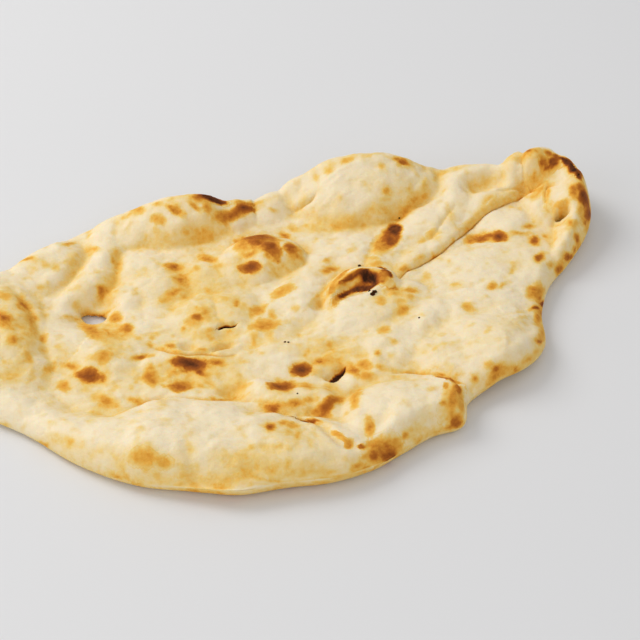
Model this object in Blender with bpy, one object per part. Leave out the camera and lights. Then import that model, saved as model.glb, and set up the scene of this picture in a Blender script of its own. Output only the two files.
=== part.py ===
"""Naan: a large hand-stretched flatbread, one solid.

The bread lies as it is served, brown side up. The origin is at the middle of the underside, +X points at the
narrow tip, +Y at the far long side and +Z up. The sizes in the tables are millimetres; the mesh is in metres.

It is a flat sheet of dough whose edge rolls over into a puffy rim. Gas has blown long pockets between the two
skins, which meet in creases. The top and the underside are two surfaces over one plan, and share the outline.
"""
import bpy
import numpy as np
from mathutils import Vector, geometry

# ---------------------------------------------------------------- driving sizes
THICK = 11.0  # the dough between its bubbles
LEAST = 4.5  # thinnest it gets
ROLL_SPREAD = np.pi / 2 - 1  # how much wider the flat sheet is than the rolled edge, as a share of the roll's reach
CENTRE = (-7, 9.2)  # middle of the outline's box, moved to the origin
TOP_STEP, UNDER_STEP, EDGE_STEP, LIP_STEP = 5.8, 12.0, 6.2, 3.2  # spacing of the mesh
FINEST = 5.0  # smallest crease that the mesh can show
CRUST_COLOUR = (0.80, 0.66, 0.42, 1.0)
CRUST_ROUGHNESS = 0.72

# The outline, counter-clockwise from the blunt end: (x, y, height of its outermost line, reach of the roll, same reach below as a share)
EDGE = [
    (-203, 105, 9, 12, 0.8),
    (-224, 67, 10, 13, 0.8),
    (-227, 31, 10, 13, 0.8),
    (-213, 3, 5, 13, 0.6),  # the blunt end
    (-196, -19, 4, 13, 0.6),
    (-174, -56, 5, 14, 0.6),  # near side, left
    (-149, -84, 7, 15, 0.6),
    (-124, -101, 10, 15, 0.8),
    (-101, -115, 12, 15, 0.8),
    (-72, -121, 12, 15, 0.8),
    (-46, -127, 11, 14, 0.8),
    (-20, -127, 10, 13, 0.8),  # near rolled rim
    (2, -121, 8, 14, 0.7),
    (24, -115, 7, 13, 0.7),
    (44, -114, 6, 11, 0.7),
    (54, -100, 8, 10, 0.8),  # near right lobe
    (75, -93, 6, 8, 0.8),  # raised thin edge
    (98, -88, 6, 9, 0.8),
    (120, -73, 6, 8, 0.8),  # corner past the notch
    (133, -45, 6, 8, 0.8),  # the notch
    (151, -23, 6, 8, 0.8),
    (172, -9, 6, 8, 0.9),  # end of the roll
    (198, 12, 8, 9, 0.9),
    (210, 31, 8, 9, 0.9),
    (214, 53, 9, 10, 0.9),  # roll down the right side
    (209, 71, 10, 10, 0.9),
    (196, 91, 9, 10, 0.9),  # the tip
    (176, 93, 8, 10, 0.8),  # knob
    (164, 88, 7, 10, 0.8),  # dip before the knob
    (148, 96, 7, 10, 0.8),
    (134, 104, 7, 10, 0.8),  # dip beside the biggest bubble
    (115, 108, 8, 12, 0.8),
    (97, 117, 8, 13, 0.8),
    (71, 125, 8, 13, 0.8),  # behind the biggest bubble
    (36, 127, 7, 10, 0.8),
    (-10, 124, 6, 9, 0.8),  # low stretch of the far side
    (-37, 133, 8, 12, 0.8),
    (-80, 146, 8, 10, 0.8),  # behind the first long bubble
    (-128, 138, 7, 10, 0.8),  # far side, left
    (-173, 121, 7, 10, 0.8),  # far side of the blunt end
]

# Blown-up pockets: (softness, [(x, y, radius, height) along its spine]); 1 is a full dome, more is a softer foot
PUFFS = [
    (1.2, [(-188, 111, 26, 11), (-187, 80, 28, 13), (-186, 55, 27, 13), (-197, 27, 30, 9), (-203, 2, 24, 6)]),  # roll across the blunt end
    (1.4, [(-163, 104, 28, 6), (-144, 112, 26, 9), (-134, 118, 22, 9)]),  # swell at the far left
    (1.4, [(-98, 124, 16, 4), (-109, 107, 17, 5.5), (-125, 88, 17, 5.5), (-140, 76, 14, 3)]),  # narrow ridge beside it
    (1.5, [(-87, 92, 18, 4), (-106, 66, 16, 4)]),  # ridge past the second valley
    (1, [(-89, 131, 20, 8), (-71, 129, 24, 13), (-51, 124, 25, 17), (-33, 120, 23, 16.5), (-18, 122, 18, 8)]),  # first long bubble
    (1.3, [(-12, 115, 19, 9), (9, 116, 22, 6)]),  # low ridge behind the dark streak
    (0.9, [(-28, 66, 17, 7), (-14, 67, 22, 12), (-2, 65, 18, 11)]),  # bubble with the brown top
    (0.8, [(37, 115, 20, 7), (53, 109, 30, 13), (70, 104, 35, 17), (88, 100, 33, 18), (103, 97, 27, 17.5), (116, 91, 18, 12)]),  # biggest bubble
    (1.2, [(34, 120, 17, 7), (49, 129, 15, 5)]),  # small puff left of it
    (1.4, [(154, 79, 22, 15), (141, 82, 24, 15), (129, 79, 20, 12), (117, 64, 20, 9), (94, 51, 18, 6.5), (72, 43, 14, 4)]),  # wide ridge right of it
    (1.5, [(165, 69, 20, 11), (146, 61, 24, 9), (123, 58, 24, 5.5), (97, 43, 20, 4), (75, 25, 14, 3)]),  # slope down to the long fold
    (1, [(162, 73, 17, 13), (168, 72, 17, 19), (174, 74, 14, 21)]),  # knob beside the tip
    (0.9, [(183, 66, 14, 25), (192, 65, 15, 22), (200, 61, 14, 18)]),  # tip lump
    (1.1, [(201, 56, 16, 18), (200, 38, 18, 18), (193, 19, 16, 14), (179, 2, 14, 10), (167, -8, 11, 6)]),  # roll down the right side
    (1.3, [(191, 52, 17, 12), (190, 38, 16, 13)]),  # inner side of the roll
    (1.4, [(181, 41, 20, 6), (145, 30, 24, 6)]),  # smooth triangle below the tip
    (1.5, [(136, 3, 36, 7), (101, -20, 46, 7), (80, -20, 36, 5)]),  # broad swell at the right
    (1.1, [(66, -63, 34, 9), (90, -63, 36, 12), (100, -73, 28, 10)]),  # lobe beyond the notch
    (0.9, [(19, 13, 13, 8), (34, 15, 19, 13), (49, 11, 14, 11)]),  # burst blister
    (1.5, [(60, -4, 20, 6), (38, -9, 26, 8), (15, -13, 24, 6), (-5, -16, 18, 3)]),  # ridge in the middle
    (1.6, [(54, -29, 20, 7), (27, -37, 22, 7), (2, -43, 18, 4)]),  # ridge right of the middle
    (1.8, [(67, -22, 24, 5), (44, -46, 24, 5), (16, -53, 20, 4)]),  # flat ridge before the lobe
    (1.1, [(-195, -7, 20, 4), (-178, -32, 24, 7), (-160, -53, 28, 10)]),  # near rolled rim, left
    (1, [(-155, -58, 30, 11), (-135, -65, 34, 15), (-107, -76, 36, 15), (-82, -91, 34, 14), (-58, -108, 30, 13), (-37, -123, 22, 9)]),  # near rolled rim
    (1.1, [(-50, -92, 20, 9), (-31, -110, 20, 10), (-19, -125, 16, 7)]),  # lump on the rim
    (1.1, [(-10, -98, 22, 8), (9, -101, 36, 13), (27, -104, 32, 12)]),  # near right lobe
    (1.7, [(-151, 38, 24, 3), (-138, 23, 26, 5)]),  # swell near the left
    (1.5, [(-110, 4, 11, 2.5), (-90, -3, 13, 2.5), (-69, -15, 14, 2.5), (-42, -18, 14, 1.5), (-11, -24, 11, 1.5)]),  # ridge before the dent
    (1.2, [(-61, -44, 11, 5), (-48, -59, 12, 5), (-28, -66, 12, 4)]),  # little ridge by the rim
    (1.5, [(-81, 71, 26, 4), (-51, 69, 24, 4)]),  # rise left of the middle
    (1.5, [(-68, 31, 22, 5), (-47, 30, 20, 4)]),  # rise behind the slit
    (1.6, [(-28, 6, 24, 3), (-4, 24, 20, 5), (18, 46, 18, 4)]),  # rise by the blister
    (1.5, [(39, 51, 24, 5), (59, 38, 18, 4)]),  # rise behind the blister
]

# Wide rises that the pockets sit on: (x, y, radius, height)
SWELLS = [
    (89, 131, 50, 9.5),  # far side by the biggest bubble
    (50, 133, 26, 6),  # far side left of it
    (-29, 138, 36, 6),  # far side by the first bubble
]

# Small blisters on top of them, in the same form
BLISTERS = [
]

# Creases and folds: (depth, width, rise of the rolled side, its width, overhang, [(x, y) along it]); the rolled side is on the left
CREASES = [
    (2.8, 1.3, 2.2, 20, 1.4, [(52, 6), (64, 17), (79, 22), (97, 28), (110, 34), (123, 41), (135, 46), (151, 50), (164, 52), (175, 53), (183, 52), (190, 52)]),  # long fold from the tip
    (1.4, 1.8, 0, 6, 0, [(88, 39), (98, 40), (109, 49), (124, 59)]),  # second crease
    (1.2, 1.3, 0.8, 8, 0, [(150, 59), (161, 58), (173, 58)]),  # thin crease
    (4.2, 1.3, 0, 5, 0, [(176, 70), (175, 64), (174, 61), (174, 59), (174, 57)]),  # crease by the knob
    (1.6, 1.4, 0.6, 5, 0.3, [(178, 35), (181, 42), (185, 47), (188, 45)]),  # crease inside the roll
    (2.2, 3, 0, 6, 0, [(122, 95), (123, 86), (119, 78), (110, 74), (95, 71)]),  # crease past the biggest bubble
    (1, 5, 0, 6, 0, [(-81, 111), (-57, 100), (-37, 101), (-14, 110)]),  # lower edge of the first bubble
    (3.6, 4, 0, 6, 0, [(-112, 121), (-125, 103), (-140, 91), (-153, 85)]),  # valley at the far left
    (1, 7, 0, 6, 0, [(-96, 109), (-103, 88), (-119, 72), (-133, 64)]),  # second valley
    (2.5, 3.5, 1, 6, 0.5, [(-172, 95), (-166, 75), (-166, 57), (-168, 40)]),  # fold at the blunt end
    (2.6, 1.6, 1.2, 7, 0.5, [(22, 103), (28, 100), (35, 99), (41, 101)]),  # crease by the small puff
    (1.6, 1.6, 1.6, 10, 0.6, [(-55, -63), (-69, -50), (-91, -40), (-104, -32), (-117, -28), (-128, -28), (-140, -30)]),  # upper edge of the near rim
    (1.5, 4, 0, 6, 0, [(-118, -80), (-118, -93), (-122, -108)]),  # fold across the near rim
    (3, 3, 0, 6, 0, [(-47, -80), (-39, -89), (-35, -111), (-24, -117)]),  # crease between rim and lobe
    (1.2, 3, 0, 5, 0, [(-26, -77), (-9, -68), (5, -64), (18, -64)]),  # left edge of the lobe
    (1.2, 1.3, 1.6, 10, 0.6, [(53, -102), (51, -96), (49, -88), (45, -79), (33, -68), (18, -64)]),  # far edge of the lobe
    (1.5, 4, 0, 5, 0, [(-13, -114), (-3, -102), (11, -88)]),  # fold on the lobe
    (2.5, 2.6, 0, 5, 0, [(21, 17), (9, 13), (-3, 7)]),  # valley left of the blister
    (1.2, 4, 0, 5, 0, [(57, -18), (41, -23), (17, -23), (-2, -22)]),  # groove below the middle ridge
    (1, 4, 0, 5, 0, [(52, -36), (38, -44), (18, -44), (0, -39)]),  # groove beside it
    (1.2, 4, 0, 5, 0, [(60, -37), (43, -51), (30, -60), (20, -62)]),  # edge of the flat ridge
    (1.5, 5, 0, 5, 0, [(49, -56), (63, -40), (80, -37), (105, -40)]),  # edge of the far lobe
    (1, 3, 0, 5, 0, [(134, -8), (129, -12), (125, -15)]),  # soft line
    (5.4, 0.9, 0.3, 5, 0.2, [(-63, 15), (-58, 16), (-54, 14), (-50, 14)]),  # slit
    (9, 2.4, 0.3, 6, 0.2, [(-18, -51), (-12, -49), (-8, -47), (-2, -45)]),  # dark tear
    (6, 1.3, 0.8, 5, 0.5, [(-48, -76), (-44, -80), (-40, -87)]),  # slit by the lobe
    (2.6, 1.2, 0.8, 7, 0.3, [(-106, 18), (-99, 10), (-92, 2), (-77, -3), (-69, -9), (-58, -11)]),  # thin line
]

# Dents and torn slits: (x, y, half length, half width, turn in degrees, depth)
DENTS = [
    (-64, 0, 10, 3.2, 15, 4.5),  # dent before the ridge
    (-85, 8, 6, 4, -63, 3.6),  # dent beside it
    (-72, -40, 10, 6, -3, 4.5),  # dent by the rim
    (-43, -3, 8, 5, -23, 2.5),  # small dent
    (-62, 10, 12, 6, -23, 2),  # hollow before the slit
    (-9, -46, 12, 8, 17, 3.6),  # hollow by the dark tear
    (-127, 67, 15, 9, -13, 4),  # hollow above the hole
    (-129, 57, 15, 11, -23, 4.5),  # thin dough at the hole
    (182, 20, 5, 4.8, -23, 5),  # thin dough at the small hole
    (154, 66, 17, 7, -18, 6),  # under the knob
    (179, 56, 9, 3.5, 22, 3),  # dip at the charred crease
]

# Burst blisters: (x, y, half length, half width, turn in degrees, depth, height of the torn lip, its width as a share)
CRATERS = [
    (30, 11, 13.5, 7, 7, 9, 0.8, 0.2),  # burst blister
]

# Holes right through: (x, y, half length, half width, turn in degrees, reach of the rolled lip)
HOLES = [
    (-128, 63, 8.5, 4.8, -23, 2.2),  # hole at the left
    (184, 23, 3.8, 3.6, -23, 1.3),  # hole by the right side
]

# Where the bread stands up off the table: (x, y, radius, height)
LIFTS = [
    (201, 57, 45, 9),  # under the tip
    (-214, 60, 45, 4),  # under the blunt end
    (62, 128, 60, 4),  # under the far edge
    (86, -87, 24, 6),  # under the raised thin edge
]

# Level patches underneath that it rests on: (x, y, radius)
RESTS = [(-5, 10, 40), (-120, 20, 30), (110, 20, 30)]


def hash01(i, j, seed):
    """A repeatable number from 0 to 1 for each pair of whole numbers."""
    h = (i.astype(np.int64) * 374761393 + j.astype(np.int64) * 668265263 + seed * 974634777) & 0xFFFFFFFF
    h = ((h ^ (h >> 13)) * 1274126177) & 0xFFFFFFFF
    h = ((h ^ (h >> 15)) * 2246822519) & 0xFFFFFFFF
    return ((h ^ (h >> 16)) & 0xFFFFFF) / float(0x1000000)


def noise(x, y, size, seed):
    """Smooth gradient noise, about -0.7 to 0.7, with lumps of the given size."""
    x, y = x / size, y / size
    i, j = np.floor(x), np.floor(y)
    u, v = x - i, y - j
    fu, fv = u * u * u * (u * (u * 6 - 15) + 10), v * v * v * (v * (v * 6 - 15) + 10)
    total = 0.0
    for di in (0, 1):
        for dj in (0, 1):
            a = hash01(i + di, j + dj, seed) * 2 * np.pi
            g = np.cos(a) * (u - di) + np.sin(a) * (v - dj)
            total = total + g * (fu if di else 1 - fu) * (fv if dj else 1 - fv)
    return total * 1.4


def loop_curve(stations, count):
    """A smooth closed curve through the stations: every column is interpolated, at count even steps of length."""
    p = np.array(stations, float)
    q = np.vstack([p[-1:], p, p[:2]])
    t = np.concatenate([[0], np.cumsum(np.sqrt(np.hypot(*np.diff(q[:, :2], axis=0).T)))])
    fine = []
    for k in range(1, len(q) - 2):
        d0, d1, d2 = t[k] - t[k - 1], t[k + 1] - t[k], t[k + 2] - t[k + 1]
        m1 = ((q[k] - q[k - 1]) / d0 * d1 + (q[k + 1] - q[k]) / d1 * d0) / (d0 + d1) * d1
        m2 = ((q[k + 1] - q[k]) / d1 * d2 + (q[k + 2] - q[k + 1]) / d2 * d1) / (d1 + d2) * d1
        s = np.linspace(0, 1, 60, endpoint=False)[:, None]
        fine.append((2 * s**3 - 3 * s**2 + 1) * q[k] + (s**3 - 2 * s**2 + s) * m1 + (3 * s**2 - 2 * s**3) * q[k + 1] + (s**3 - s**2) * m2)
    fine = np.vstack(fine)
    closed = np.vstack([fine, fine[:1]])
    along = np.concatenate([[0], np.cumsum(np.hypot(*np.diff(closed[:, :2], axis=0).T))])
    at = np.linspace(0, along[-1], count, endpoint=False)
    return np.stack([np.interp(at, along, closed[:, c]) for c in range(closed.shape[1])], axis=1), along[-1]


def outward(loop):
    """Unit vectors across a loop that runs counter-clockwise, pointing out of it."""
    d = np.roll(loop[:, :2], -1, axis=0) - np.roll(loop[:, :2], 1, axis=0)
    d /= np.hypot(*d.T)[:, None]
    return np.stack([d[:, 1], -d[:, 0]], axis=1)


def near_path(xy, path):
    """For each point the nearest place on an open path: distance, signed side distance, share of the length, interpolated columns."""
    path = np.array(path, float)
    best = np.full(len(xy), 1e9)
    side = np.zeros(len(xy))
    share = np.zeros(len(xy))
    cols = np.zeros((len(xy), path.shape[1]))
    direction = np.zeros((len(xy), 2))
    lengths = np.hypot(*np.diff(path[:, :2], axis=0).T)
    before = np.concatenate([[0], np.cumsum(lengths)])
    for k in range(len(path) - 1):
        a, b = path[k], path[k + 1]
        d = (b - a)[:2]
        s = np.clip(((xy - a[:2]) @ d) / max(d @ d, 1e-9), 0, 1)
        off = xy - (a[:2] + s[:, None] * d)
        r = np.hypot(*off.T)
        closer = r < best
        best = np.where(closer, r, best)
        n = np.array([-d[1], d[0]]) / max(np.hypot(*d), 1e-9)
        across = off @ n
        side = np.where(closer, np.sign(across + 1e-12) * r, side)
        share = np.where(closer, (before[k] + s * lengths[k]) / before[-1], share)
        cols[closer] = (a + s[:, None] * (b - a))[closer]
        direction[closer] = n
    return best, side, share, cols, direction


def refine(path, steps=8):
    """A smooth open curve through a path's nodes."""
    p = np.array(path, float)
    if len(p) < 3:
        return p
    q = np.vstack([2 * p[0] - p[1], p, 2 * p[-1] - p[-2]])
    out = []
    for k in range(1, len(q) - 2):
        for s in np.linspace(0, 1, steps, endpoint=False):
            out.append(0.5 * (2 * q[k] + (q[k + 1] - q[k - 1]) * s + (2 * q[k - 1] - 5 * q[k] + 4 * q[k + 1] - q[k + 2]) * s**2 + (3 * q[k] - q[k - 1] - 3 * q[k + 1] + q[k + 2]) * s**3))
    out.append(p[-1])
    return np.array(out)


def puff(xy, spine, softness):
    """Height of one blown-up pocket: a dome along a spine of (x, y, radius, height) nodes."""
    spine = np.array(spine, float)
    nodes = spine if len(spine) == 1 else refine(spine, 16)
    reach = nodes[:, 2].max() + 2
    lo, hi = nodes[:, :2].min(0) - reach, nodes[:, :2].max(0) + reach
    found = np.flatnonzero(((xy > lo) & (xy < hi)).all(1))
    out = np.zeros(len(xy))
    at = xy[found]
    ratio, high = np.full(len(at), 9.0), np.zeros(len(at))
    for x, y, radius, height in nodes:
        r = np.hypot(at[:, 0] - x, at[:, 1] - y) / radius
        high = np.where(r < ratio, height, high)
        ratio = np.minimum(r, ratio)
    out[found] = high * np.clip(1 - ratio**2, 0, 1) ** softness
    return out


def merge(a, b, soft):
    """The higher of two reliefs, with a small fillet where they meet."""
    k = np.maximum(np.minimum(np.minimum(a, b), soft), 1e-6)
    h = np.clip(k - np.abs(a - b), 0, None) / k
    return np.maximum(a, b) + h * h * k * 0.25


def fade(share, ends):
    """1 along the middle of a path, falling to 0 at both ends."""
    return np.clip(np.minimum(share, 1 - share) / ends, 0, 1) ** 0.7


def edge_of(xy, loop, columns):
    """Distance from each point to a closed loop (positive inside a counter-clockwise one), the nearest columns and the way in."""
    out_d = np.empty(len(xy))
    out_c = np.empty((len(xy), len(columns)))
    out_n = np.empty((len(xy), 2))
    nxt = np.roll(loop, -1, axis=0)
    d = (nxt - loop)[:, :2]
    dd = (d * d).sum(1)
    normal = -outward(loop)
    for start in range(0, len(xy), 4000):
        p = xy[start : start + 4000]
        near = np.argmin(((p[:, None, :] - loop[None, :, :2]) ** 2).sum(2), axis=1)
        best = np.full(len(p), 1e9)
        cols, n, sign = np.zeros((len(p), len(columns))), np.zeros((len(p), 2)), np.ones(len(p))
        for step in (-1, 0):
            k = (near + step) % len(loop)
            k2 = (k + 1) % len(loop)
            s = np.clip(((p - loop[k, :2]) * d[k]).sum(1) / dd[k], 0, 1)[:, None]
            off = p - (loop[k, :2] + s * d[k])
            r = np.hypot(*off.T)
            closer = r < best
            best = np.where(closer, r, best)
            mixed = normal[k] * (1 - s) + normal[k2] * s
            n[closer] = mixed[closer]
            inside = (off * mixed).sum(1)
            sign = np.where(closer, np.sign(inside + 1e-12), sign)
            value = loop[k][:, columns] * (1 - s) + loop[k2][:, columns] * s
            cols[closer] = value[closer]
        out_d[start : start + 4000] = best * sign
        out_c[start : start + 4000] = cols
        out_n[start : start + 4000] = n / np.maximum(np.hypot(*n.T), 1e-9)[:, None]
    return out_d, out_c, out_n


def inside_loop(xy, loop):
    """True for points inside a closed loop."""
    x, y = xy[:, 0], xy[:, 1]
    odd = np.zeros(len(xy), bool)
    x0, y0 = loop[:, 0], loop[:, 1]
    x1, y1 = np.roll(x0, -1), np.roll(y0, -1)
    for a, b, c, d in zip(x0, y0, x1, y1):
        if b != d:
            odd ^= ((b > y) != (d > y)) & (x < (c - a) * (y - b) / (d - b) + a)
    return odd


def make_edges(loop_step, hole_step):
    """The plan's loops: the outer edge, and each hole, as (true loop, drawn loop) where the drawn one is spread outwards so that the rim can roll back in."""
    rough, length = loop_curve(EDGE, 400)
    loop, _ = loop_curve(EDGE, max(60, int(length / loop_step)))
    spread = outward(loop)
    for _ in range(2):
        spread = (np.roll(spread, 1, axis=0) + spread * 2 + np.roll(spread, -1, axis=0)) / 4
    drawn = loop.copy()
    drawn[:, :2] += spread * (loop[:, 3] * ROLL_SPREAD)[:, None]
    edges = [(loop, drawn)]
    for x, y, long_r, short_r, turn, reach in HOLES:
        count = max(10, int(2 * np.pi * (long_r + short_r) / 2 / hole_step))
        a = np.linspace(0, 2 * np.pi, count, endpoint=False)
        wobble = 1 + 0.12 * np.sin(2 * a + x) + 0.08 * np.sin(3 * a + y)
        c, s = np.cos(np.radians(turn)), np.sin(np.radians(turn))
        u, v = long_r * wobble * np.cos(a), short_r * wobble * np.sin(a)
        hole = np.stack([x + c * u - s * v, y + s * u + c * v], axis=1)
        inner = hole - outward(hole) * min(reach * ROLL_SPREAD, 0.45 * short_r)
        edges.append((hole, inner))
    return edges


def fill_points(edges, step, clear):
    """A hexagonal field of points inside the drawn loops, kept clear of them."""
    outer = edges[0][1][:, :2]
    lo, hi = outer.min(0), outer.max(0)
    rows = np.arange(lo[1], hi[1], step * np.sqrt(3) / 2)
    pts = np.vstack([np.stack([np.arange(lo[0] + (k % 2) * step / 2, hi[0], step), np.full(len(np.arange(lo[0] + (k % 2) * step / 2, hi[0], step)), y)], axis=1) for k, y in enumerate(rows)])
    pts = pts[inside_loop(pts, outer)]
    dist, _, _ = edge_of(pts, outer, [0])
    pts = pts[dist > clear]
    for _, inner in edges[1:]:
        c = inner.mean(0)
        near = np.hypot(*(pts - c).T) < np.hypot(*(inner - c).T).max() + 3 * step
        keep = np.ones(len(pts), bool)
        sub = pts[near]
        dist, _, _ = edge_of(sub, inner, [0])
        keep[near] = (~inside_loop(sub, inner)) & (np.abs(dist) > clear)
        pts = pts[keep]
    return pts


def crease_points(points, edges, step):
    """The points, with those beside each narrow crease replaced by rows that run along it."""
    outer = edges[0][1][:, :2]
    for _, width, _, _, _, path in CREASES:
        if width > 2.2:
            continue
        nodes = refine(path, 16)[:, :2]
        along = np.concatenate([[0], np.cumsum(np.hypot(*np.diff(nodes, axis=0).T))])
        at = np.arange(0, along[-1], 0.8 * step)
        line = np.stack([np.interp(at, along, nodes[:, c]) for c in (0, 1)], axis=1)
        ahead = np.gradient(line, axis=0)
        across = np.stack([-ahead[:, 1], ahead[:, 0]], axis=1) / np.hypot(*ahead.T)[:, None]
        rows = np.vstack([line + across * (share * width) for share in (-2.2, -1.3, -0.75, -0.35, 0, 0.35, 0.75, 1.3, 2.2, 3.2)])
        reach = 3.2 * width + 0.5 * step
        near = (np.abs(points - line.mean(0)) < np.ptp(line, axis=0).max() + reach).all(1)
        far, _, _, _, _ = near_path(points[near], line)
        keep = np.ones(len(points), bool)
        keep[near] = far > reach
        points = points[keep]
        gap, _, _, _, _ = near_path(rows, line)
        rows = rows[(gap > 0) | (np.arange(len(rows)) // len(line) == 4)]
        rows = rows[inside_loop(rows, outer)]
        inside, _, _ = edge_of(rows, outer, [0])
        rows = rows[inside > step]
        for _, inner in edges[1:]:
            away, _, _ = edge_of(rows, inner, [0])
            rows = rows[(np.abs(away) > 0.5 * step) & ~inside_loop(rows, inner)]
        points = np.vstack([points, rows])
    # no two points closer than a tenth of a step
    cell = np.round(points / (0.25 * step)).astype(int)
    _, first = np.unique(cell, axis=0, return_index=True)
    return points[np.sort(first)]


def triangulate(edges, points):
    """Delaunay triangles over the loops and the points, inside the plan. The loops' points come first."""
    loops = [e[1][:, :2] for e in edges]
    links, start = [], 0
    for lp in loops:
        n = len(lp)
        links += [(start + k, start + (k + 1) % n) for k in range(n)]
        start += n
    every = np.vstack(loops + [points])
    found = geometry.delaunay_2d_cdt([Vector(p) for p in every.tolist()], links, [], 0, 1e-6)
    if len(found[0]) != len(every):
        raise RuntimeError("two plan points coincide")
    tri = np.array(found[2], int)
    mid = every[tri].mean(1)
    keep = inside_loop(mid, loops[0])
    for lp in loops[1:]:
        keep &= ~inside_loop(mid, lp)
    tri = tri[keep]
    a, b, c = (every[tri[:, k]] for k in range(3))
    turned = ((b - a)[:, 0] * (c - a)[:, 1] - (b - a)[:, 1] * (c - a)[:, 0]) < 0
    tri[turned] = tri[turned][:, ::-1]
    return every, tri, start


def relief(xy, grain):
    """Height of the top above the dough's own thickness: the blown pockets, small blisters, dents and creases."""
    big = np.zeros(len(xy))
    warp = np.stack([noise(xy[:, 0], xy[:, 1], 34, 3), noise(xy[:, 0], xy[:, 1], 34, 4)], axis=1) * 5.0
    warp += np.stack([noise(xy[:, 0], xy[:, 1], 13, 5), noise(xy[:, 0], xy[:, 1], 13, 6)], axis=1) * 1.6
    at = xy + warp
    for softness, spine in PUFFS:
        big = merge(big, puff(at, spine, softness), 5.0)
    top = big + swell(xy, SWELLS)
    for softness, spine in BLISTERS:
        top = top + puff(at, spine, softness)
    for x, y, long_r, short_r, turn, depth in DENTS:
        if short_r < grain - 1:
            continue
        c, s = np.cos(np.radians(turn)), np.sin(np.radians(turn))
        u = ((at[:, 0] - x) * c + (at[:, 1] - y) * s) / long_r
        v = (-(at[:, 0] - x) * s + (at[:, 1] - y) * c) / short_r
        top = top - depth * np.exp(-((u * u + v * v) ** 1.3))
    for x, y, long_r, short_r, turn, depth, lip, lip_width in CRATERS:
        near = np.flatnonzero(np.hypot(xy[:, 0] - x, xy[:, 1] - y) < 2.5 * long_r)
        c, s = np.cos(np.radians(turn)), np.sin(np.radians(turn))
        u = ((at[near, 0] - x) * c + (at[near, 1] - y) * s) / long_r
        v = (-(at[near, 0] - x) * s + (at[near, 1] - y) * c) / short_r
        ratio = np.hypot(u, v)
        back = 0.55 + 0.45 * v / np.maximum(ratio, 0.3)
        top[near] += lip * back * np.exp(-(((ratio - 1.15) / lip_width) ** 2)) - depth * np.exp(-(ratio**4))
    return top


def folds(xy, grain):
    """What creases add: (height, sideways shift). The dough on the left of a crease's path is rolled over it. Nothing is made finer than grain."""
    high, shift = np.zeros(len(xy)), np.zeros((len(xy), 2))
    for depth, width, roll, roll_width, over, path in CREASES:
        width = max(width, grain)
        over = over if grain < 2 else 0
        nodes = refine(path)
        reach = 4 * max(width, roll_width)
        lo, hi = nodes[:, :2].min(0) - reach, nodes[:, :2].max(0) + reach
        k = np.flatnonzero(((xy > lo) & (xy < hi)).all(1))
        if not len(k):
            continue
        r, side, share, _, across = near_path(xy[k], nodes)
        end = fade(share, 0.22) * np.clip(1.6 - r / reach, 0, 1)
        high[k] -= depth * end * np.exp(-((r / width) ** (1.4 if width < 2.5 else 2)))
        up = np.clip(side, 0, 6 * roll_width)
        high[k] += roll * end * (1 - np.exp(-((up / (1.1 * width)) ** 1.5))) * np.exp(-((up / roll_width) ** 2))
        shift[k] -= across * (over * end * (up / width * np.exp(1 - up / width)))[:, None]
    return high, shift


def swell(xy, rows):
    """Sum of wide soft mounds (x, y, radius, height)."""
    out = np.zeros(len(xy))
    for x, y, radius, height in rows:
        r2 = ((xy[:, 0] - x) ** 2 + (xy[:, 1] - y) ** 2) / radius**2
        out += height * np.exp(-r2)
    return out


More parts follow.
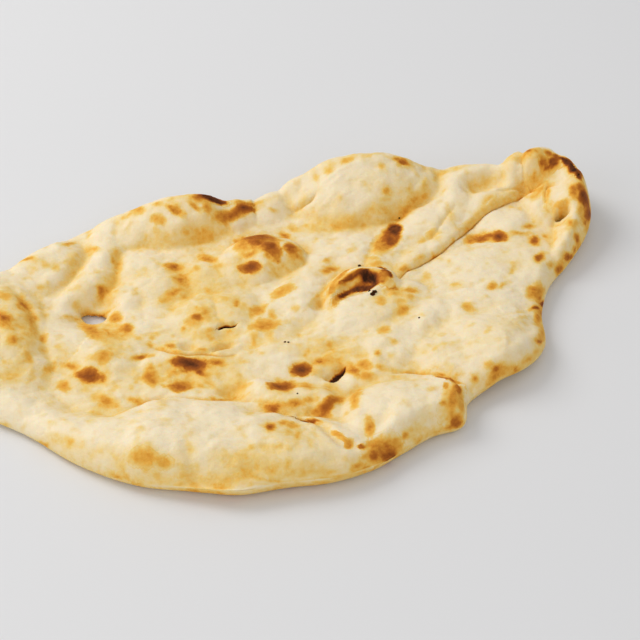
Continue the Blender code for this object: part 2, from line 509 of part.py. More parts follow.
def surfaces(xy, edges, grain):
    """The two skins over plan points xy: (top xyz, bottom xyz, extras)."""
    loop, drawn = edges[0]
    dist, cols, way_in = edge_of(xy, drawn, [2, 3, 4])
    eq, reach, under = cols.T
    dist = np.maximum(dist, 0)
    lift = swell(xy, LIFTS)
    top = THICK + relief(xy, grain)
    extra, shift = folds(xy, grain)
    top = top + extra
    rough = noise(xy[:, 0], xy[:, 1], 30, 11) * 1.6 + noise(xy[:, 0], xy[:, 1], 14, 12) * 0.7
    if grain < 2:
        rough = rough + noise(xy[:, 0], xy[:, 1], 6.5, 13) * 0.4 + noise(xy[:, 0], xy[:, 1], 3.1, 14) * 0.2
        bent = xy[:, 1] + noise(xy[:, 0], xy[:, 1], 40, 15) * 14
        rough = rough + noise(xy[:, 0] / 3.2, bent, 8, 16) * 0.6 + noise(xy[:, 0] / 2.6, bent, 4, 17) * 0.32
    top = np.maximum(top + rough, LEAST)
    turn = np.clip(dist / (reach * np.pi / 2), 0, 1) * np.pi / 2
    curve = np.sin(turn)
    inset = reach * (1 - np.cos(turn))
    slide = np.where(turn < np.pi / 2, inset - (dist - reach * ROLL_SPREAD), 0)
    low_reach = reach * under
    low_turn = np.clip(dist / (low_reach + reach * ROLL_SPREAD), 0, 1) * np.pi / 2
    low_curve = np.sin(low_turn)
    low_inset = low_reach * (1 - np.cos(low_turn))
    low_slide = np.where(low_turn < np.pi / 2, low_inset - (dist - reach * ROLL_SPREAD), 0)
    level = lift + eq
    z_top = level + (lift + top - level) * curve
    under_side = noise(xy[:, 0], xy[:, 1], 30, 21) * 1.6 + noise(xy[:, 0], xy[:, 1], 12, 22) * 0.6
    for x, y, radius in RESTS:
        under_side = under_side - 2.5 * np.exp(-(((xy[:, 0] - x) ** 2 + (xy[:, 1] - y) ** 2) / radius**2) ** 2)
    floor = np.maximum(lift + under_side - 0.2, 0)
    z_low = level + (floor - level) * low_curve
    top_xy = xy + way_in * slide[:, None] + shift * (curve[:, None] ** 2)
    low_xy = xy + way_in * low_slide[:, None]
    for (x, y, long_r, short_r, _, hreach), (hole, inner) in zip(HOLES, edges[1:]):
        near = np.flatnonzero(np.hypot(xy[:, 0] - x, xy[:, 1] - y) < long_r + 3 * hreach + 4)
        if not len(near):
            continue
        d, _, n = edge_of(xy[near], inner, [0])
        d, n = np.abs(d), -n
        gap = min(hreach * ROLL_SPREAD, 0.45 * short_r)
        t = np.clip(d / (hreach + gap), 0, 1) * np.pi / 2
        move = np.where(t < np.pi / 2, hreach * (1 - np.cos(t)) - (d - gap), 0)
        middle = 0.5 * (z_top[near] + z_low[near])
        z_top[near] = middle + (z_top[near] - middle) * np.sin(t)
        z_low[near] = middle + (z_low[near] - middle) * np.sin(t)
        top_xy[near] += n * move[:, None]
        low_xy[near] += n * move[:, None]
    return top_xy, z_top, low_xy, z_low, dist


def bread_mesh(top_step, low_step, loop_step, hole_step, grain):
    """(points, triangles, plan points, is_top) of the closed skin, in millimetres."""
    edges = make_edges(loop_step, hole_step)
    field = fill_points(edges, top_step, 0.6 * min(top_step, loop_step))
    if grain < 2:
        field = crease_points(field, edges, top_step)
    top_plan, top_tri, shared = triangulate(edges, field)
    low_plan, low_tri, _ = triangulate(edges, fill_points(edges, low_step, 0.7 * low_step))
    txy, tz, _, _, _ = surfaces(top_plan, edges, grain)
    _, _, lxy, lz, _ = surfaces(low_plan, edges, grain)
    lxy[:shared], lz[:shared] = txy[:shared], tz[:shared]
    top = np.column_stack([txy, tz])
    low = np.column_stack([lxy, lz])[shared:]
    low_tri = low_tri[:, ::-1].copy()
    index = np.concatenate([np.arange(shared), np.arange(shared, len(low_plan)) - shared + len(top_plan)])
    tri = np.vstack([top_tri, index[low_tri]])
    points = np.vstack([top, low])
    plan = np.vstack([top_plan, low_plan[shared:]])
    is_top = np.concatenate([np.ones(len(top_plan), bool), np.zeros(len(low_plan) - shared, bool)])
    points[:, 0] -= CENTRE[0]
    points[:, 1] -= CENTRE[1]
    return points, tri, plan, is_top


def main():
    for ob in list(bpy.data.objects):
        bpy.data.objects.remove(ob, do_unlink=True)
    points, faces, _, _ = bread_mesh(TOP_STEP, UNDER_STEP, EDGE_STEP, LIP_STEP, FINEST)
    mesh = bpy.data.meshes.new("naan")
    mesh.from_pydata((points / 1000.0).tolist(), [], faces.tolist())
    mesh.validate()
    mesh.update()
    mesh.shade_smooth()
    crust = bpy.data.materials.new("crust")
    crust.use_nodes = True
    bsdf = crust.node_tree.nodes["Principled BSDF"]
    bsdf.inputs["Base Color"].default_value = CRUST_COLOUR
    bsdf.inputs["Roughness"].default_value = CRUST_ROUGHNESS
    bsdf.inputs["Metallic"].default_value = 0.0
    mesh.materials.append(crust)
    bread = bpy.data.objects.new("naan", mesh)
    bpy.context.scene.collection.objects.link(bread)


main()
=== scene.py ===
"""The looks of the naan: a fine skin that stands for the plain solid, its baked colours, and a plain studio."""
import math

import bpy
import numpy as np
from mathutils import Matrix, Vector, geometry


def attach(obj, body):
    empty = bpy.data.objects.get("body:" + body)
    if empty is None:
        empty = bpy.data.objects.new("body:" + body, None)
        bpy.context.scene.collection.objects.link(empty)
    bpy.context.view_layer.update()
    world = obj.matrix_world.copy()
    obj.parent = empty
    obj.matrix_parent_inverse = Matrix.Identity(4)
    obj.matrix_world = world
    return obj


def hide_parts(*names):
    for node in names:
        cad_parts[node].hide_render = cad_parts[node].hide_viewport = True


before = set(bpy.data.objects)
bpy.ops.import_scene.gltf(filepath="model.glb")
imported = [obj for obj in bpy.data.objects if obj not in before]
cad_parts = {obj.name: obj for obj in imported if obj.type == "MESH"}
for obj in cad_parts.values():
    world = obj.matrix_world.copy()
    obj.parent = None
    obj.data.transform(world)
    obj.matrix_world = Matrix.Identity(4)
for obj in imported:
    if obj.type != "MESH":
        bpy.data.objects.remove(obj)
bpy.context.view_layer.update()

# ---------------------------------------------------------------- driving sizes, as in part.py
THICK = 11.0  # the dough between its bubbles
LEAST = 4.5  # thinnest it gets
ROLL_SPREAD = np.pi / 2 - 1  # how much wider the flat sheet is than the rolled edge, as a share of the roll's reach
CENTRE = (-7, 9.2)  # middle of the outline's box, moved to the origin
TOP_STEP, UNDER_STEP, EDGE_STEP, LIP_STEP = 1.3, 2.6, 1.3, 0.8  # spacing of the mesh, finer than the plain solid's

# The looks: colours as seen on a screen, 0 to 255
BAKE = [  # dough to char
    (0.0, (245, 228, 193)), (0.12, (241, 216, 160)), (0.22, (240, 206, 128)), (0.32, (238, 193, 98)), (0.42, (235, 176, 72)),
    (0.52, (221, 151, 51)), (0.63, (190, 114, 37)), (0.75, (157, 85, 30)), (0.87, (118, 63, 30)), (1.0, (60, 33, 19)),
]
FLOUR = (246, 236, 214)
FLOOR = (227, 227, 228)
LIGHTS = [  # name, (right, beyond, above) as the camera sees it, size, power, colour
    ("key", (-1.6, 0.9, 1.7), (1.4, 1.4), 28.6, (1.0, 0.985, 0.96)),
    ("fill", (0.6, -1.7, 1.7), (2.0, 2.0), 8.0, (1.0, 0.99, 0.975)),
    ("side", (-1.8, -1.1, 1.0), (1.5, 1.5), 8.5, (1.0, 0.99, 0.975)),
]
SKY = ((0.985, 0.99, 1.0, 1.0), 0.52)

# The outline, counter-clockwise from the blunt end: (x, y, height of its outermost line, reach of the roll, same reach below as a share)
EDGE = [
    (-203, 105, 9, 12, 0.8),
    (-224, 67, 10, 13, 0.8),
    (-227, 31, 10, 13, 0.8),
    (-213, 3, 5, 13, 0.6),  # the blunt end
    (-196, -19, 4, 13, 0.6),
    (-174, -56, 5, 14, 0.6),  # near side, left
    (-149, -84, 7, 15, 0.6),
    (-124, -101, 10, 15, 0.8),
    (-101, -115, 12, 15, 0.8),
    (-72, -121, 12, 15, 0.8),
    (-46, -127, 11, 14, 0.8),
    (-20, -127, 10, 13, 0.8),  # near rolled rim
    (2, -121, 8, 14, 0.7),
    (24, -115, 7, 13, 0.7),
    (44, -114, 6, 11, 0.7),
    (54, -100, 8, 10, 0.8),  # near right lobe
    (75, -93, 6, 8, 0.8),  # raised thin edge
    (98, -88, 6, 9, 0.8),
    (120, -73, 6, 8, 0.8),  # corner past the notch
    (133, -45, 6, 8, 0.8),  # the notch
    (151, -23, 6, 8, 0.8),
    (172, -9, 6, 8, 0.9),  # end of the roll
    (198, 12, 8, 9, 0.9),
    (210, 31, 8, 9, 0.9),
    (214, 53, 9, 10, 0.9),  # roll down the right side
    (209, 71, 10, 10, 0.9),
    (196, 91, 9, 10, 0.9),  # the tip
    (176, 93, 8, 10, 0.8),  # knob
    (164, 88, 7, 10, 0.8),  # dip before the knob
    (148, 96, 7, 10, 0.8),
    (134, 104, 7, 10, 0.8),  # dip beside the biggest bubble
    (115, 108, 8, 12, 0.8),
    (97, 117, 8, 13, 0.8),
    (71, 125, 8, 13, 0.8),  # behind the biggest bubble
    (36, 127, 7, 10, 0.8),
    (-10, 124, 6, 9, 0.8),  # low stretch of the far side
    (-37, 133, 8, 12, 0.8),
    (-80, 146, 8, 10, 0.8),  # behind the first long bubble
    (-128, 138, 7, 10, 0.8),  # far side, left
    (-173, 121, 7, 10, 0.8),  # far side of the blunt end
]

# Blown-up pockets: (softness, [(x, y, radius, height) along its spine]); 1 is a full dome, more is a softer foot
PUFFS = [
    (1.2, [(-188, 111, 26, 11), (-187, 80, 28, 13), (-186, 55, 27, 13), (-197, 27, 30, 9), (-203, 2, 24, 6)]),  # roll across the blunt end
    (1.4, [(-163, 104, 28, 6), (-144, 112, 26, 9), (-134, 118, 22, 9)]),  # swell at the far left
    (1.4, [(-98, 124, 16, 4), (-109, 107, 17, 5.5), (-125, 88, 17, 5.5), (-140, 76, 14, 3)]),  # narrow ridge beside it
    (1.5, [(-87, 92, 18, 4), (-106, 66, 16, 4)]),  # ridge past the second valley
    (1, [(-89, 131, 20, 8), (-71, 129, 24, 13), (-51, 124, 25, 17), (-33, 120, 23, 16.5), (-18, 122, 18, 8)]),  # first long bubble
    (1.3, [(-12, 115, 19, 9), (9, 116, 22, 6)]),  # low ridge behind the dark streak
    (0.9, [(-28, 66, 17, 7), (-14, 67, 22, 12), (-2, 65, 18, 11)]),  # bubble with the brown top
    (0.8, [(37, 115, 20, 7), (53, 109, 30, 13), (70, 104, 35, 17), (88, 100, 33, 18), (103, 97, 27, 17.5), (116, 91, 18, 12)]),  # biggest bubble
    (1.2, [(34, 120, 17, 7), (49, 129, 15, 5)]),  # small puff left of it
    (1.4, [(154, 79, 22, 15), (141, 82, 24, 15), (129, 79, 20, 12), (117, 64, 20, 9), (94, 51, 18, 6.5), (72, 43, 14, 4)]),  # wide ridge right of it
    (1.5, [(165, 69, 20, 11), (146, 61, 24, 9), (123, 58, 24, 5.5), (97, 43, 20, 4), (75, 25, 14, 3)]),  # slope down to the long fold
    (1, [(162, 73, 17, 13), (168, 72, 17, 19), (174, 74, 14, 21)]),  # knob beside the tip
    (0.9, [(183, 66, 14, 25), (192, 65, 15, 22), (200, 61, 14, 18)]),  # tip lump
    (1.1, [(201, 56, 16, 18), (200, 38, 18, 18), (193, 19, 16, 14), (179, 2, 14, 10), (167, -8, 11, 6)]),  # roll down the right side
    (1.3, [(191, 52, 17, 12), (190, 38, 16, 13)]),  # inner side of the roll
    (1.4, [(181, 41, 20, 6), (145, 30, 24, 6)]),  # smooth triangle below the tip
    (1.5, [(136, 3, 36, 7), (101, -20, 46, 7), (80, -20, 36, 5)]),  # broad swell at the right
    (1.1, [(66, -63, 34, 9), (90, -63, 36, 12), (100, -73, 28, 10)]),  # lobe beyond the notch
    (0.9, [(19, 13, 13, 8), (34, 15, 19, 13), (49, 11, 14, 11)]),  # burst blister
    (1.5, [(60, -4, 20, 6), (38, -9, 26, 8), (15, -13, 24, 6), (-5, -16, 18, 3)]),  # ridge in the middle
    (1.6, [(54, -29, 20, 7), (27, -37, 22, 7), (2, -43, 18, 4)]),  # ridge right of the middle
    (1.8, [(67, -22, 24, 5), (44, -46, 24, 5), (16, -53, 20, 4)]),  # flat ridge before the lobe
    (1.1, [(-195, -7, 20, 4), (-178, -32, 24, 7), (-160, -53, 28, 10)]),  # near rolled rim, left
    (1, [(-155, -58, 30, 11), (-135, -65, 34, 15), (-107, -76, 36, 15), (-82, -91, 34, 14), (-58, -108, 30, 13), (-37, -123, 22, 9)]),  # near rolled rim
    (1.1, [(-50, -92, 20, 9), (-31, -110, 20, 10), (-19, -125, 16, 7)]),  # lump on the rim
    (1.1, [(-10, -98, 22, 8), (9, -101, 36, 13), (27, -104, 32, 12)]),  # near right lobe
    (1.7, [(-151, 38, 24, 3), (-138, 23, 26, 5)]),  # swell near the left
    (1.5, [(-110, 4, 11, 2.5), (-90, -3, 13, 2.5), (-69, -15, 14, 2.5), (-42, -18, 14, 1.5), (-11, -24, 11, 1.5)]),  # ridge before the dent
    (1.2, [(-61, -44, 11, 5), (-48, -59, 12, 5), (-28, -66, 12, 4)]),  # little ridge by the rim
    (1.5, [(-81, 71, 26, 4), (-51, 69, 24, 4)]),  # rise left of the middle
    (1.5, [(-68, 31, 22, 5), (-47, 30, 20, 4)]),  # rise behind the slit
    (1.6, [(-28, 6, 24, 3), (-4, 24, 20, 5), (18, 46, 18, 4)]),  # rise by the blister
    (1.5, [(39, 51, 24, 5), (59, 38, 18, 4)]),  # rise behind the blister
]

# Wide rises that the pockets sit on: (x, y, radius, height)
SWELLS = [
    (89, 131, 50, 9.5),  # far side by the biggest bubble
    (50, 133, 26, 6),  # far side left of it
    (-29, 138, 36, 6),  # far side by the first bubble
]

# Small blisters on top of them, in the same form
BLISTERS = [
]

# Creases and folds: (depth, width, rise of the rolled side, its width, overhang, [(x, y) along it]); the rolled side is on the left
CREASES = [
    (2.8, 1.3, 2.2, 20, 1.4, [(52, 6), (64, 17), (79, 22), (97, 28), (110, 34), (123, 41), (135, 46), (151, 50), (164, 52), (175, 53), (183, 52), (190, 52)]),  # long fold from the tip
    (1.4, 1.8, 0, 6, 0, [(88, 39), (98, 40), (109, 49), (124, 59)]),  # second crease
    (1.2, 1.3, 0.8, 8, 0, [(150, 59), (161, 58), (173, 58)]),  # thin crease
    (4.2, 1.3, 0, 5, 0, [(176, 70), (175, 64), (174, 61), (174, 59), (174, 57)]),  # crease by the knob
    (1.6, 1.4, 0.6, 5, 0.3, [(178, 35), (181, 42), (185, 47), (188, 45)]),  # crease inside the roll
    (2.2, 3, 0, 6, 0, [(122, 95), (123, 86), (119, 78), (110, 74), (95, 71)]),  # crease past the biggest bubble
    (1, 5, 0, 6, 0, [(-81, 111), (-57, 100), (-37, 101), (-14, 110)]),  # lower edge of the first bubble
    (3.6, 4, 0, 6, 0, [(-112, 121), (-125, 103), (-140, 91), (-153, 85)]),  # valley at the far left
    (1, 7, 0, 6, 0, [(-96, 109), (-103, 88), (-119, 72), (-133, 64)]),  # second valley
    (2.5, 3.5, 1, 6, 0.5, [(-172, 95), (-166, 75), (-166, 57), (-168, 40)]),  # fold at the blunt end
    (2.6, 1.6, 1.2, 7, 0.5, [(22, 103), (28, 100), (35, 99), (41, 101)]),  # crease by the small puff
    (1.6, 1.6, 1.6, 10, 0.6, [(-55, -63), (-69, -50), (-91, -40), (-104, -32), (-117, -28), (-128, -28), (-140, -30)]),  # upper edge of the near rim
    (1.5, 4, 0, 6, 0, [(-118, -80), (-118, -93), (-122, -108)]),  # fold across the near rim
    (3, 3, 0, 6, 0, [(-47, -80), (-39, -89), (-35, -111), (-24, -117)]),  # crease between rim and lobe
    (1.2, 3, 0, 5, 0, [(-26, -77), (-9, -68), (5, -64), (18, -64)]),  # left edge of the lobe
    (1.2, 1.3, 1.6, 10, 0.6, [(53, -102), (51, -96), (49, -88), (45, -79), (33, -68), (18, -64)]),  # far edge of the lobe
    (1.5, 4, 0, 5, 0, [(-13, -114), (-3, -102), (11, -88)]),  # fold on the lobe
    (2.5, 2.6, 0, 5, 0, [(21, 17), (9, 13), (-3, 7)]),  # valley left of the blister
    (1.2, 4, 0, 5, 0, [(57, -18), (41, -23), (17, -23), (-2, -22)]),  # groove below the middle ridge
    (1, 4, 0, 5, 0, [(52, -36), (38, -44), (18, -44), (0, -39)]),  # groove beside it
    (1.2, 4, 0, 5, 0, [(60, -37), (43, -51), (30, -60), (20, -62)]),  # edge of the flat ridge
    (1.5, 5, 0, 5, 0, [(49, -56), (63, -40), (80, -37), (105, -40)]),  # edge of the far lobe
    (1, 3, 0, 5, 0, [(134, -8), (129, -12), (125, -15)]),  # soft line
    (5.4, 0.9, 0.3, 5, 0.2, [(-63, 15), (-58, 16), (-54, 14), (-50, 14)]),  # slit
    (9, 2.4, 0.3, 6, 0.2, [(-18, -51), (-12, -49), (-8, -47), (-2, -45)]),  # dark tear
    (6, 1.3, 0.8, 5, 0.5, [(-48, -76), (-44, -80), (-40, -87)]),  # slit by the lobe
    (2.6, 1.2, 0.8, 7, 0.3, [(-106, 18), (-99, 10), (-92, 2), (-77, -3), (-69, -9), (-58, -11)]),  # thin line
]

# Dents and hollows: (x, y, half length, half width, turn in degrees, depth)
DENTS = [
    (-64, 0, 10, 3.2, 15, 4.5),  # dent before the ridge
    (-85, 8, 6, 4, -63, 3.6),  # dent beside it
    (-72, -40, 10, 6, -3, 4.5),  # dent by the rim
    (-43, -3, 8, 5, -23, 2.5),  # small dent
    (-62, 10, 12, 6, -23, 2),  # hollow before the slit
    (-9, -46, 12, 8, 17, 3.6),  # hollow by the dark tear
    (-127, 67, 15, 9, -13, 4),  # hollow above the hole
    (-129, 57, 15, 11, -23, 4.5),  # thin dough at the hole
    (182, 20, 5, 4.8, -23, 5),  # thin dough at the small hole
    (154, 66, 17, 7, -18, 6),  # under the knob
    (179, 56, 9, 3.5, 22, 3),  # dip at the charred crease
]

# Burst blisters: (x, y, half length, half width, turn in degrees, depth, height of the torn lip, its width as a share)
CRATERS = [
    (30, 11, 13.5, 7, 7, 9, 0.8, 0.2),  # burst blister
]

# Holes right through: (x, y, half length, half width, turn in degrees, reach of the rolled lip)
HOLES = [
    (-128, 63, 8.5, 4.8, -23, 2.2),  # hole at the left
    (184, 23, 3.8, 3.6, -23, 1.3),  # hole by the right side
]

# Where the bread stands up off the table: (x, y, radius, height)
LIFTS = [
    (201, 57, 45, 9),  # under the tip
    (-214, 60, 45, 4),  # under the blunt end
    (62, 128, 60, 4),  # under the far edge
    (86, -87, 24, 6),  # under the raised thin edge
]

# Level patches underneath that it rests on: (x, y, radius)
RESTS = [(-5, 10, 40), (-120, 20, 30), (110, 20, 30)]

# Browned marks: (x, y, half length, half width, turn in degrees, tone from 0.1 faint gold to 1 black-brown)
SPOTS = [
    # left end and far left
    (-154, 118, 4.7, 1.9, -42, 0.57), (-124, 128, 6.3, 2.7, 43, 0.51), (-111, 116, 4.3, 1.6, -67, 0.51), (-140, 105, 3.4, 1.9, 81, 0.35),
    (-98, 106, 4.4, 2.2, 69, 0.39), (-178, 83, 5.9, 4.5, 85, 0.46), (-184, 60, 6.7, 4.1, 86, 0.7), (-168, 76, 5.3, 3.6, 67, 0.65),
    (-168, 62, 8.6, 1.5, 77, 0.57), (-185, 40, 3.3, 2.6, 62, 0.58), (-165, 47, 5.5, 2.4, 66, 0.51), (-169, 50, 5.5, 1.3, 70, 0.44),
    (-168, 21, 4.8, 2.6, 44, 0.51), (-137, 72, 3, 2.4, 50, 0.35),
    # first long bubble
    (-74, 132, 5, 3.1, -47, 0.49), (-61, 126, 2.8, 1.6, -44, 0.46), (-66, 117, 4.7, 2.9, -35, 0.49), (-53, 117, 6, 2.6, -53, 0.65),
    (-41, 114, 4.3, 2.1, -50, 0.58), (-32, 111, 4.4, 3.3, 80, 0.57), (-50, 104, 2.3, 1.4, 0, 0.44), (-35, 119, 7.1, 3.5, -13, 0.67),
    (-25, 118, 8.2, 3.2, -10, 0.87), (-18, 107, 12.5, 3.9, 14, 0.73), (-8, 109, 8.8, 3.8, 10, 0.89), (-4, 113, 7.7, 1.7, -1, 0.67),
    (-40, 99, 2.9, 1.4, -17, 0.46), (10, 104, 2.7, 1.2, -8, 0.35),
    # bubble with the brown top
    (-10, 79, 14.4, 9.7, -23, 0.76), (-14, 73, 14.8, 4.6, -66, 0.74), (-8, 64, 8.1, 6.4, -84, 0.81), (5, 60, 5.2, 4.3, 60, 0.76),
    (-20, 66, 5.7, 2.3, -25, 0.55), (-24, 56, 6.7, 4.8, -28, 0.87), (-22, 76, 7.1, 5.9, -49, 0.55), (10, 84, 4.3, 2.7, -61, 0.61),
    (-45, 80, 7.1, 3.8, -62, 0.58), (-43, 68, 4, 2.3, -36, 0.41),
    # behind the hole and left of the middle
    (-68, 81, 5.7, 4.2, -21, 0.68), (-55, 72, 2.9, 2.3, -70, 0.46), (-69, 67, 3.6, 3.4, 40, 0.63), (-77, 57, 7.6, 3.3, 17, 0.57),
    (-70, 52, 2.9, 2.7, 7, 0.5), (-83, 54, 4, 2.5, 14, 0.44), (-118, 77, 4.6, 3.3, 58, 0.68), (-116, 71, 3, 1.7, -55, 0.35),
    (-125, 66, 5.7, 1.1, -23, 0.78), (-139, 64, 3.7, 0.9, 21, 0.51), (-144, 64, 4, 1, 11, 0.46), (-157, 67, 2.5, 1.9, 53, 0.37),
    (-117, 52, 5.9, 3.4, -63, 0.58), (-115, 38, 5.2, 4.1, -64, 0.64), (-121, 47, 7.6, 2.3, -54, 0.35), (-134, 46, 14.3, 4.4, -82, 0.6),
    (-130, 39, 8.1, 3.6, 86, 0.46), (-129, 27, 4.4, 2.7, 72, 0.35), (-110, 26, 3, 2.4, 78, 0.35), (-102, 24, 2.8, 2.1, 64, 0.39),
    # middle left
    (-72, 27, 3.4, 3.3, 6, 0.73), (-81, 23, 2.3, 1.6, -43, 0.52), (-65, 30, 5.9, 3, 87, 0.49), (-45, 30, 3.5, 2.5, 64, 0.58),
    (-68, 14, 3.7, 1.8, -13, 0.44), (-57, 11, 2.5, 1.5, -30, 0.46), (-75, 24, 4.5, 3.6, -40, 0.42), (-94, 12, 4.1, 3.4, -72, 0.61),
    (-106, 18, 2.5, 1.6, -5, 0.49), (-100, 12, 3.4, 0.9, -49, 0.44), (-92, 4, 5.7, 1, -40, 0.44), (-78, 1, 3.1, 2.1, -10, 0.51),
    (-64, 1, 7.7, 1.1, 25, 0.42), (-65, 4, 8.5, 4, 22, 0.3),
    # orange blisters in the middle
    (-33, 21, 6.4, 4.8, 20, 0.56), (-35, 6, 8.6, 5.7, -38, 0.58), (-27, 13, 4.4, 2.2, 68, 0.44), (-45, -2, 5.1, 1.9, 59, 0.41),
    (-35, -4, 4.9, 2.4, 78, 0.35), (-13, 30, 9, 5.2, 24, 0.49), (-7, 31, 3.3, 2.4, -88, 0.46), (-12, 11, 2.8, 2.4, 21, 0.35),
    (-41, 25, 4.1, 2.8, 61, 0.33),
    # beside the biggest bubble
    (66, 109, 3.9, 2.8, -14, 0.47), (44, 111, 3.4, 1.9, 78, 0.35), (53, 111, 3.3, 2.5, -41, 0.35), (102, 97, 4.1, 3.4, -29, 0.76),
    (99, 100, 3.4, 2, -11, 0.64), (86, 97, 2.6, 2, 57, 0.41), (70, 90, 2, 1.6, -16, 0.23), (82, 80, 3, 2.2, 47, 0.51),
    (52, 88, 1.7, 1.2, -28, 0.23), (19, 87, 3.5, 2.2, -48, 0.41), (27, 86, 2.8, 2.1, -54, 0.33), (96, 41, 5.6, 3, 11, 0.37),
    (89, 40, 3.6, 2.5, 19, 0.33), (42, 48, 2.9, 2.3, -29, 0.26),
    # round the burst blister
    (10, 20, 12.5, 1.1, 36, 0.44), (16, 9, 6, 1.4, 45, 0.57), (25, 39, 4.5, 2.2, -19, 0.63), (21, 38, 3.3, 1.9, -4, 0.57),
    (25, 46, 3.4, 1.6, 22, 0.46), (53, 30, 5.2, 2.6, -12, 0.47), (52, 36, 4.5, 2.2, -32, 0.37), (66, 21, 3.9, 1.6, 5, 0.52),
    (69, 20, 3, 0.9, -11, 0.61), (79, 25, 3.5, 0.9, 10, 0.46), (77, 9, 4.2, 2.5, 67, 0.39),
    # below the blister
    (50, 0, 4.3, 1.1, -9, 0.73), (61, -3, 5.4, 2.2, -23, 0.57), (50, -3, 5.1, 2.5, -18, 0.44), (58, -8, 2.9, 2.5, 0, 0.46),
    (39, -6, 4.5, 4.1, 54, 0.47), (49, -17, 3.8, 3, 46, 0.57), (50, -10, 2.6, 2.1, 0, 0.44), (30, -31, 5.5, 4.5, -12, 0.47),
    (31, -42, 2.5, 1.7, -13, 0.37), (6, -25, 3.1, 2.1, -27, 0.23), (-4, -25, 3, 2.3, -31, 0.46), (-8, -21, 2.9, 2.4, 76, 0.26),
    # dots before the lobe
    (0, -52, 6.7, 3.8, -70, 0.63), (7, -53, 5.3, 4.1, -65, 0.53), (5, -60, 4.2, 2.5, -27, 0.53), (-15, -36, 2.7, 1.2, -29, 0.73),
    (19, -47, 3.2, 2.1, 67, 0.55), (15, -58, 2.5, 2.1, -2, 0.47), (9, -44, 3.8, 3, -54, 0.33), (-4, -37, 3.1, 1.6, -27, 0.26),
    (-18, -58, 3.8, 2.9, 10, 0.35),
    # dark marks in the middle
    (-148, 6, 8.8, 4.8, -38, 0.84), (-156, 18, 5.3, 2.1, -44, 0.58), (-165, 4, 4.1, 3.4, -52, 0.56), (-150, -11, 3.3, 2.4, -58, 0.39),
    (-145, -17, 6.3, 2.7, -64, 0.57), (-136, 15, 5.9, 4.5, 72, 0.53), (-141, 17, 4.3, 2.1, -30, 0.35), (-137, -9, 3.1, 1.6, -37, 0.3),
    (-131, 21, 2.1, 1.8, 0, 0.35), (-114, 10, 5, 3, 2, 0.68), (-109, 8, 3, 2.9, -20, 0.46), (-114, -9, 8.2, 4.8, 73, 0.6),
    (-114, -13, 4.2, 2.7, 71, 0.67), (-111, -2, 2.4, 2.1, -33, 0.51), (-106, -2, 2.4, 1.3, -22, 0.33), (-129, -23, 3.9, 2.6, -33, 0.58),
    (-122, 1, 2.4, 1.9, -18, 0.23), (-89, -8, 11.6, 4.5, -28, 0.98), (-86, -16, 5, 2.7, -69, 0.81), (-74, -14, 3.4, 3.1, -58, 0.65),
    (-73, -14, 2, 1.8, 81, 0.71), (-101, -22, 7.7, 5.8, -26, 0.73), (-90, -27, 2.7, 2, -35, 0.46), (-84, -26, 7.6, 1, -65, 0.39),
    (-105, -16, 2.9, 2.4, 72, 0.35), (-59, -18, 3.1, 1.8, -28, 0.3), (-46, -17, 2.5, 1.7, -35, 0.26), (-66, -25, 2.4, 2.3, -39, 0.23),
    (-66, -36, 4.4, 2.8, -68, 0.39), (-87, -39, 2.4, 1.5, -9, 0.51), (-81, -42, 10.7, 1.1, -17, 0.58),
    # dark marks before the near rim
    (-28, -37, 6.7, 4.6, -24, 0.93), (-21, -42, 3.5, 2.6, 76, 0.39), (-46, -48, 8.6, 6.2, 18, 0.84), (-32, -54, 5.4, 3.9, -75, 0.57),
    (-57, -63, 6.1, 2.6, -36, 0.71), (-43, -67, 6.6, 3.1, -3, 0.6), (-35, -67, 4.5, 2.2, -14, 0.51), (-40, -83, 4.3, 0.9, -56, 0.57),
    (-27, -74, 11.1, 4, 25, 0.76), (-34, -74, 4.6, 1.8, -8, 0.57), (-67, -87, 4, 2.8, 56, 0.76), (-59, -85, 2.7, 2.4, -60, 0.54),
    (-55, -89, 3.5, 2.8, -40, 0.52), (-55, -98, 5.1, 1.7, 66, 0.49), (-60, -95, 3.5, 2.4, 49, 0.39), (-72, -66, 4.3, 2, 64, 0.28),
    (-52, -107, 4.5, 1.4, 66, 0.28),
    # near rim
    (-141, -81, 2.9, 1.6, -28, 0.55), (-132, -87, 2.3, 1.1, -23, 0.51), (-177, -44, 4.5, 2.5, -42, 0.42), (-181, -41, 7.1, 2.1, -37, 0.23),
    (-163, -61, 5, 1.5, -36, 0.19), (-91, -105, 6.2, 1.7, -8, 0.3), (-99, -100, 5.1, 1.9, -24, 0.26), (-72, -105, 6.2, 1.8, -8, 0.28),
    (-62, -123, 2.3, 1.8, -18, 0.41), (-47, -127, 2.7, 1.9, -27, 0.44), (-30, -130, 3.2, 2.8, 2, 0.55), (-57, -121, 5.2, 1.4, -14, 0.26),
    (-162, -80, 3.3, 1.7, -37, 0.51), (-115, -103, 5.8, 1.3, -27, 0.28), (-117, -38, 10.5, 2.5, 69, 0.19), (-175, -29, 3.4, 1.4, -76, 0.21),
    (-177, -9, 4.3, 3.3, 57, 0.16),
    # join of rim and lobe
    (-18, -118, 3.6, 2.2, -7, 0.47), (0, -123, 3.8, 2.2, -26, 0.51), (4, -119, 3.1, 2.2, -13, 0.57), (8, -117, 4.1, 1.6, 7, 0.35),
    (-24, -125, 4.4, 1.8, -3, 0.47), (-3, -119, 4.6, 1.5, -6, 0.44),
    # near right lobe
    (-10, -77, 10.7, 3.3, 63, 0.51), (-14, -106, 8.2, 3.5, 63, 0.57), (32, -92, 2.5, 1.8, 61, 0.28), (38, -70, 4.3, 0.9, -41, 0.46),
    (31, -66, 10.3, 0.9, -22, 0.41), (46, -78, 4.4, 0.9, -48, 0.61), (50, -85, 4.6, 1.5, -65, 0.71), (35, -120, 5.4, 1.2, 5, 0.63),
    (25, -121, 5.8, 0.9, 2, 0.44), (21, -67, 3.6, 0.9, -23, 0.35),
